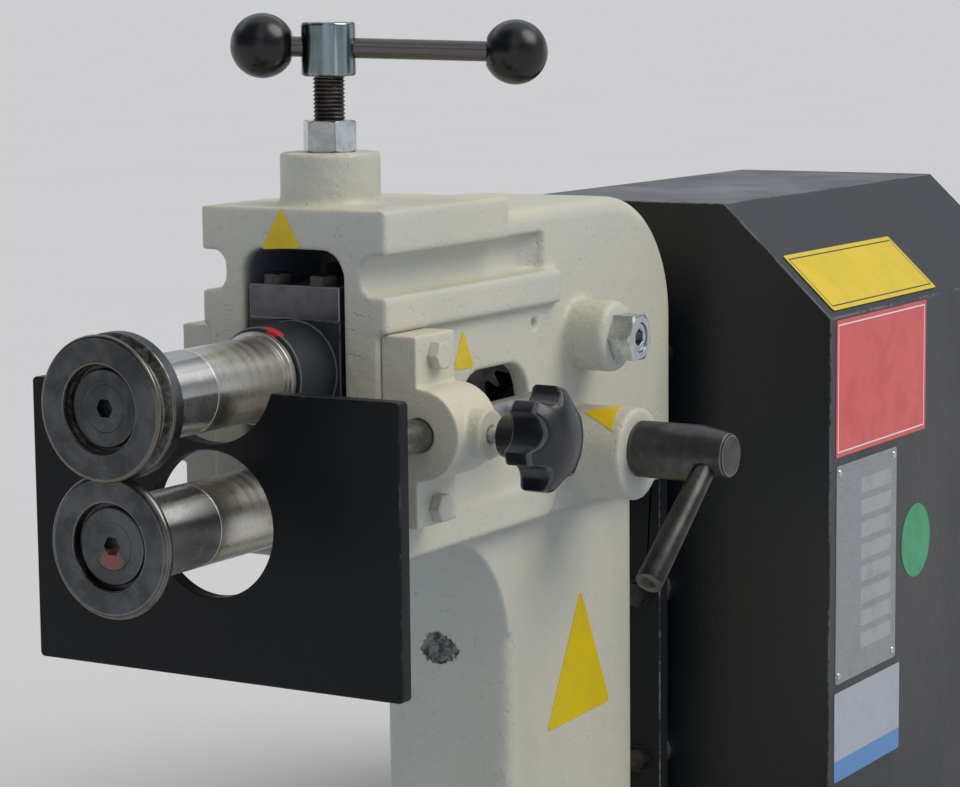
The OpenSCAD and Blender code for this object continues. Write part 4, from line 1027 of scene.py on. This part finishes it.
def dress_screw():
    length = THREAD_TOP - THREAD_FOOT
    values = {"Radius": SCREW_R * MM, "Pitch": SCREW_PITCH * MM, "Length": length * MM,
              "Material": THREAD_BROWN}
    spot = [(at(0, SCREW_Y, THREAD_FOOT), ALONG_Z)]
    stand_in(grown("screw_thread", THREAD, spot, values), "pressure_screw", THREAD_BROWN)
    soften("screw_hub", 0.6, HUB_PAINTED_REFLECTIONS)
    paint("thrust_pad", BOLT_DARK)
    steel = bright_turned("drawn_bar", rgb(106, 101, 99), rgb(86, 76, 68), rough=0.24, stained=0.4,
                          centre=BAR_MIDDLE, axis=BAR_WAY)
    soften("tommy_bar", 0.4, steel)
    edge = math.sqrt(BALL_R ** 2 - BALL_MOUTH ** 2)
    for name, way, reach in (("near_ball", -BAR_WAY, BALL_NEAR), ("far_ball", BAR_WAY, BALL_FAR)):
        ball = turned(name, BAR_MIDDLE + way * (reach - edge) * MM, way, ball_profile())
        stand_in(ball, "ball_knobs", BALL_BLACK)


# Rolls, shafts and their carrier

def dress_rolls():
    soften("upper_shaft", 0.5, UPPER_SHAFT)
    soften("lower_shaft", 0.5, LOWER_SHAFT)
    soften("upper_spacer", 0.4, UPPER_SPACER)
    soften("lower_spacer", 0.4, LOWER_SPACER)
    soften("upper_roll", 0.5, UPPER_ROLL, 20.0)
    soften("lower_roll", 0.4, LOWER_ROLL, 20.0)
    soften("upper_roll_cap", 0.4, UPPER_CAP)
    soften("lower_roll_cap", 0.4, LOWER_CAP)
    soften("upper_roll_screw", 0.25, UPPER_CAP)
    soften("lower_roll_screw", 0.25, MARKED_SCREW)
    soften("bearing_block", 0.7, CARRIER_BLACK)
    soften("bearing_cap", 0.6, CHARCOAL)
    soften("trunnion_block", 0.6, CHARCOAL)
    for node in ("upper_gear", "lower_gear", "upper_key", "lower_keys", "collar_ring"):
        paint(node, GEAR_STEEL)
    for node in ("upper_front_bush", "upper_rear_bush"):
        paint(node, BRONZE)


# Lever

ROD_DIP = math.radians(38.0)
ROD_WAY = Vector((0.0, math.cos(ROD_DIP), math.sin(ROD_DIP)))
ROD_END_R, ROD_ROOT_R, ROD_LENGTH = 7.2, 6.0, 84.0
ROD_X, ROD_REACH = 129.0, 92.0
ROD_FOOT = at(ROD_X, PIVOT_Y, LEVER_Z) - ROD_WAY * ROD_REACH * MM


def dress_lever():
    soften("lever_hub", 0.9, GUNMETAL)
    profile = [(0.0, 0.0, 0.0), (ROD_END_R - 0.9, 0.0, 1.0), (ROD_END_R - 0.3, 0.25, 1.0),
               (ROD_END_R, 0.9, 0.0), (ROD_ROOT_R, ROD_LENGTH, 0.0), (0.0, ROD_LENGTH, 0.0)]
    stand_in(turned("lever_rod_skin", ROD_FOOT, ROD_WAY, profile), "lever_rod", LEVER_DARK)


# Star knobs

KNOB_X, KNOB_Y, KNOB_Z = 107.2, 22.0, 35.2
LOBE_R, NECK_R, NECK_LENGTH = 25.6, 10.4, 13.2
GAP_R, GAP_PLACE = 11.5, 30.0
DOME_R, DOME_CENTRE = 38.0, -0.8
EDGE_R, RIM_CUT = 2.4, 2.0
LOBE_COUNT = 6
FIRST_GAP = math.radians(15.0)


def lobe_radius(angle):
    """The outline of the knob: a circle with round gaps cut into it and soft corners between."""
    pitch = 2 * math.pi / LOBE_COUNT
    off = (angle - FIRST_GAP + pitch / 2) % pitch - pitch / 2
    reach = GAP_R ** 2 - (GAP_PLACE * math.sin(off)) ** 2
    if reach <= 0:
        return LOBE_R
    gap = GAP_PLACE * math.cos(off) - math.sqrt(reach)
    return -math.log(math.exp(-gap) + math.exp(-LOBE_R))


def dome(radius):
    return DOME_CENTRE + math.sqrt(DOME_R ** 2 - radius ** 2)


def knob_ring(side, radius_of, length_of):
    around = 240
    points = []
    for k in range(around):
        angle = 2 * math.pi * k / around
        r, t = radius_of(angle), length_of(angle)
        points.append(at(side * (KNOB_X + t), KNOB_Y - r * math.cos(angle), KNOB_Z + r * math.sin(angle)))
    return points


def star_knob(name, side):
    rings, wear = [], []

    def add(radius_of, length_of, worn=0.0):
        rings.append(knob_ring(side, radius_of, length_of))
        wear.append(worn)

    rings.append([at(side * KNOB_X, KNOB_Y, KNOB_Z)])
    wear.append(0.0)
    for radius, length, worn in ((NECK_R - 0.6, 0.0, 0.0), (NECK_R - 0.2, 0.2, 1.0), (NECK_R, 0.7, 0.0),
                                 (NECK_R, NECK_LENGTH - 1.5, 0.0), (NECK_R + 0.5, NECK_LENGTH - 0.4, 0.0)):
        add(lambda angle: radius, lambda angle: length, worn)
    inner = NECK_R + 1.6
    add(lambda angle: inner, lambda angle: NECK_LENGTH)
    add(lambda angle: (inner + lobe_radius(angle) - EDGE_R) / 2, lambda angle: NECK_LENGTH)
    for k in range(7):
        a = math.pi / 2 * k / 6
        add(lambda angle: lobe_radius(angle) - EDGE_R * (1 - math.sin(a)),
            lambda angle: NECK_LENGTH + EDGE_R * (1 - math.cos(a)), float(1 < k < 6))
    rim = ((0.0, 2.6, 0.0), (0.1, 1.6, 1.0), (0.4, 0.75, 1.0), (1.0, 0.2, 1.0), (RIM_CUT, 0.0, 0.0))
    for cut, sink, worn in rim:
        add(lambda angle: lobe_radius(angle) - cut,
            lambda angle: dome(lobe_radius(angle) - cut) - sink, worn)
    for share in (0.85, 0.68, 0.5, 0.32, 0.15):
        add(lambda angle: (lobe_radius(angle) - RIM_CUT) * share,
            lambda angle: dome((lobe_radius(angle) - RIM_CUT) * share))
    rings.append([at(side * (KNOB_X + dome(0.0)), KNOB_Y, KNOB_Z)])
    wear.append(0.0)
    return ring_mesh(name, rings, wear)


def dress_knobs():
    for side, sign in (("right", 1), ("left", -1)):
        stand_in(star_knob("star_knob_" + side, sign), "clamp_knob_" + side, KNOB_BLACK)


# Labels, all left blank

FILM = 0.25
RED_PANEL = (344.0, 477.0, -19.0, 60.0)
DATA_PLATE = (345.0, 433.0, -152.0, -24.0)
MAKER_PLATE = (344.0, 440.0, -210.0, -157.0)
MAKER_SPLIT = -14.0
DISC_Y, DISC_Z, DISC_R, DISC_CORNERS = 464.0, -86.0, 22.5, 48
SLOPE_Y = (347.0, 500.0)
SLOPE_FOOT, SLOPE_HEAD = (133.5, 65.2), (101.5, 95.3)
RIVET_INSET, RIVET_ACROSS, RIVET_HEIGHT = 4.5, 4.6, 1.1
COLUMN_TRIANGLE = ((178.6, -154.0), (250.2, -151.2), (217.2, -81.1))
SIDE_TRIANGLE = ((69.9, 58.1), (89.9, 57.4), (79.5, 77.9))
FRONT_TRIANGLE = ((-17.8, 122.1), (5.4, 123.4), (-5.4, 143.0))
BOSS_TRIANGLE = ((58.5, 62.5), (75.1, 96.0), (80.1, 36.4))


def cut_corners(points, radius, steps=5):
    """The outline with its corners rounded."""
    made = []
    for i, here in enumerate(points):
        back = (points[i - 1] - here).normalized()
        on = (points[(i + 1) % len(points)] - here).normalized()
        half = back.angle(on) / 2
        reach = radius / math.tan(half)
        for k in range(steps + 1):
            t = k / steps
            made.append(here + back * reach * (1 - t) ** 2 + on * reach * t ** 2)
    return made


def film(name, corners, node, finish, radius=1.5):
    """A thin flat label. Its corners go round it as seen from outside, in millimetres."""
    flat = [Vector(c) for c in corners]
    across = (flat[1] - flat[0]).normalized()
    out = across.cross(flat[2] - flat[1]).normalized()
    up = out.cross(across)
    middle = sum(flat, Vector()) / len(flat)
    outline = cut_corners(flat, radius) if radius else flat
    count = len(outline)
    verts = [at(*p) for p in outline] + [at(*(p + out * FILM)) for p in outline]
    faces = [list(range(count))[::-1], list(range(count, 2 * count))]
    faces += [[k, (k + 1) % count, count + (k + 1) % count, count + k] for k in range(count)]
    mesh = bpy.data.meshes.new(name)
    mesh.from_pydata(verts, [], faces)
    layer = mesh.uv_layers.new(name="face")
    for loop in mesh.loops:
        off = outline[loop.vertex_index % count] - middle
        layer.data[loop.index].uv = (off.dot(across) * MM, off.dot(up) * MM)
    return beside(link(name, mesh), node, finish)


def side_film(name, panel, finish, radius=1.5):
    """A label on the casing's side. Panel is its span along Y and its span in height."""
    y0, y1, z0, z1 = panel
    corners = [(CASING_SIDE, y, z) for y, z in ((y0, z0), (y1, z0), (y1, z1), (y0, z1))]
    return film(name, corners, "drive_casing", finish, radius)


def boss_triangle(name, corners, node, finish):
    """A triangle bent round the lever boss. A corner is a length along the boss and an angle in degrees."""
    steps = 10
    points = []
    first, second, third = corners
    for lift in (-0.1, FILM):
        for i in range(steps + 1):
            for j in range(steps + 1 - i):
                a, b = i / steps, j / steps
                x, angle = (first[k] * (1 - a - b) + second[k] * a + third[k] * b for k in (0, 1))
                r, turn = LEVER_BOSS_R + lift, math.radians(angle)
                points.append(at(x, PIVOT_Y - r * math.cos(turn), r * math.sin(turn)))
    half = len(points) // 2
    row = [sum(steps + 1 - k for k in range(i)) for i in range(steps + 2)]
    faces = []
    for i in range(steps):
        for j in range(steps - i):
            low, high = row[i] + j, row[i + 1] + j
            faces.append([half + low, half + high, half + low + 1])
            if j < steps - i - 1:
                faces.append([half + high, half + high + 1, half + low + 1])
    rim = [row[i] for i in range(steps + 1)] + [row[steps - j] + j for j in range(1, steps + 1)]
    rim += [row[0] + j for j in range(steps - 1, 0, -1)]
    faces += [[rim[k], rim[k - 1], half + rim[k - 1], half + rim[k]] for k in range(len(rim))]
    mesh = bpy.data.meshes.new(name)
    mesh.from_pydata(points, [], faces)
    shell = bmesh.new()
    shell.from_mesh(mesh)
    bmesh.ops.delete(shell, geom=[v for v in shell.verts if not v.link_faces], context="VERTS")
    bmesh.ops.recalc_face_normals(shell, faces=shell.faces)
    shell.to_mesh(mesh)
    shell.free()
    smooth(mesh, 50.0)
    return beside(link(name, mesh), node, finish)


def add_casing_labels():
    white, ink = rgb(226, 222, 216), rgb(34, 32, 26)
    y0, y1, z0, z1 = RED_PANEL
    size = ((y1 - y0) * MM, (z1 - z0) * MM)
    red = lined_film("red_film", rgb(212, 80, 78), white, size, inset=0.0025, stroke=0.0008)
    side_film("red_panel", RED_PANEL, red)
    side_film("data_plate", DATA_PLATE, ruled_plate("data_plate_aluminium"), 2.5)
    maker = two_tone_film("maker_film", rgb(160, 164, 170), rgb(66, 124, 182), MAKER_SPLIT * MM)
    side_film("maker_plate", MAKER_PLATE, maker)
    angles = [2 * math.pi * k / DISC_CORNERS for k in range(DISC_CORNERS)]
    ring = [(CASING_SIDE, DISC_Y + DISC_R * math.cos(a), DISC_Z + DISC_R * math.sin(a)) for a in angles]
    film("green_disc", ring, "drive_casing", GREEN_FILM, 0)
    (foot_x, foot_z), (head_x, head_z), (front, back) = SLOPE_FOOT, SLOPE_HEAD, SLOPE_Y
    size = ((back - front) * MM, math.hypot(foot_x - head_x, head_z - foot_z) * MM)
    yellow = lined_film("yellow_panel_film", rgb(220, 192, 10), ink, size, inset=0.0028, stroke=0.0009)
    corners = [(foot_x, front, foot_z), (foot_x, back, foot_z),
               (head_x, back, head_z), (head_x, front, head_z)]
    film("yellow_panel", corners, "drive_casing", yellow)
    y0, y1, z0, z1 = DATA_PLATE
    spots = [(at(CASING_SIDE + FILM, y, z), ALONG_X) for y in (y0 + RIVET_INSET, y1 - RIVET_INSET)
             for z in (z0 + RIVET_INSET, z1 - RIVET_INSET)]
    rivets = heads("plate_rivets", DOMED_HEADS, spots, RIVET_ACROSS, RIVET_HEIGHT, ZINC)
    beside(rivets, "drive_casing", ZINC)


def add_frame_labels():
    corners = [(COLUMN_SIDE, y, z) for y, z in COLUMN_TRIANGLE]
    film("column_triangle", corners, "frame_casting", YELLOW_FILM, 2.5)
    film("front_triangle", [(x, 0, z) for x, z in FRONT_TRIANGLE], "frame_casting", YELLOW_FILM)
    film("side_triangle", [(HEAD_SIDE, y, z) for y, z in SIDE_TRIANGLE], "frame_casting", YELLOW_FILM)
    boss_triangle("boss_triangle", BOSS_TRIANGLE, "frame_casting", YELLOW_FILM)


# Stage and light

ROOM_RISE = ((0.0, 0.62), (0.16, 0.52), (0.3, 0.2), (0.46, 0.34), (0.62, 0.85), (0.8, 0.4), (1.0, 0.7))
ROOM_WALLS = ((0.0, 1.4), (0.17, 1.4), (0.24, 0.2), (0.43, 0.08), (0.46, 1.3), (0.51, 1.3),
              (0.54, 0.5), (0.69, 0.5), (0.71, 1.3), (0.74, 1.3), (0.78, 0.5), (0.85, 1.4))
FILL_LOW, FILL_HIGH = (0.47, 0.55, 0.71, 1.0), (0.66, 0.59, 0.46, 1.0)
SUN_POWER, SUN_SPREAD = 1.75, math.radians(42.0)
SUN_WAY = Vector((-0.64, -0.2, -0.74))


def add_floor():
    reach = FLOOR_REACH
    mesh = bpy.data.meshes.new("floor")
    corners = [(-reach, -reach, 0), (reach, -reach, 0), (reach, reach, 0), (-reach, reach, 0)]
    mesh.from_pydata(corners, [], [(0, 1, 2, 3)])
    made, tree, shader, place = finish_of("pale_floor", 0.7)
    shader.inputs["Specular IOR Level"].default_value = 0.0
    seen = mixed(tree, noise(tree, place, 1.5, 3.0, 0.5), rgb(203, 206, 213), rgb(206, 209, 216))
    rays = put(tree, "ShaderNodeLightPath").outputs
    mirrored = maths(tree, "MAXIMUM", rays["Is Glossy Ray"], rays["Is Transmission Ray"])
    watched = maths(tree, "MAXIMUM", rays["Is Camera Ray"], mirrored)
    tree.links.new(mixed(tree, watched, rgb(182, 196, 222), seen), shader.inputs["Base Color"])
    mesh.materials.append(made)
    link("floor", mesh)


def ramp_of(tree, value, stops):
    """Cool grey levels along a value."""
    ramp = put(tree, "ShaderNodeValToRGB", None, {"Fac": value})
    while len(ramp.color_ramp.elements) < len(stops):
        ramp.color_ramp.elements.new(0.5)
    for stop, (place, level) in zip(ramp.color_ramp.elements, stops):
        stop.position = place
        stop.color = (level * 0.97, level, level * 1.05, 1.0)
    return ramp.outputs["Color"]


def add_world():
    """A pale room. Reflections see a bright ceiling, a dark band below it and tall windows in front."""
    world = bpy.data.worlds.new("studio")
    world.use_nodes = True
    tree = world.node_tree
    ground = tree.nodes["Background"]
    way = put(tree, "ShaderNodeTexCoord").outputs["Generated"]
    height = put(tree, "ShaderNodeSeparateXYZ", None, {0: way}).outputs["Z"]
    rise = ramp_of(tree, height, ROOM_RISE)
    rightwards = (math.cos(VIEW_TURN), math.sin(VIEW_TURN), 0.0)
    backwards = (math.sin(VIEW_TURN), -math.cos(VIEW_TURN), 0.0)
    to_right = vector_maths(tree, "DOT_PRODUCT", way, rightwards, out="Value")
    to_viewer = vector_maths(tree, "DOT_PRODUCT", way, backwards, out="Value")
    round_room = maths(tree, "DIVIDE", maths(tree, "ARCTAN2", to_right, to_viewer), 2 * math.pi)
    walls = ramp_of(tree, plus(tree, round_room, 0.5), ROOM_WALLS)
    room = mixed(tree, 1.0, rise, walls, "MULTIPLY")
    rays = put(tree, "ShaderNodeLightPath").outputs
    fill = mixed(tree, span(tree, height, 0.15, 0.95), FILL_LOW, FILL_HIGH)
    tone = mixed(tree, rays["Is Glossy Ray"], fill, room)
    tone = mixed(tree, rays["Is Camera Ray"], tone, rgb(205, 206, 209))
    tree.links.new(tone, ground.inputs["Color"])
    ground.inputs["Strength"].default_value = 1.0
    scene.world = world


def add_lights():
    sun = bpy.data.lights.new("sky_window", "SUN")
    sun.energy = SUN_POWER
    sun.angle = SUN_SPREAD
    sun.color = (1.0, 0.98, 0.93)
    holder = bpy.data.objects.new("sky_window", sun)
    holder.rotation_euler = SUN_WAY.to_track_quat("-Z", "Y").to_euler()
    scene.collection.objects.link(holder)


add_camera()
dress_frame()
dress_fasteners()
dress_screw()
dress_rolls()
dress_lever()
dress_knobs()
add_casing_labels()
add_frame_labels()
add_floor()
add_world()
add_lights()
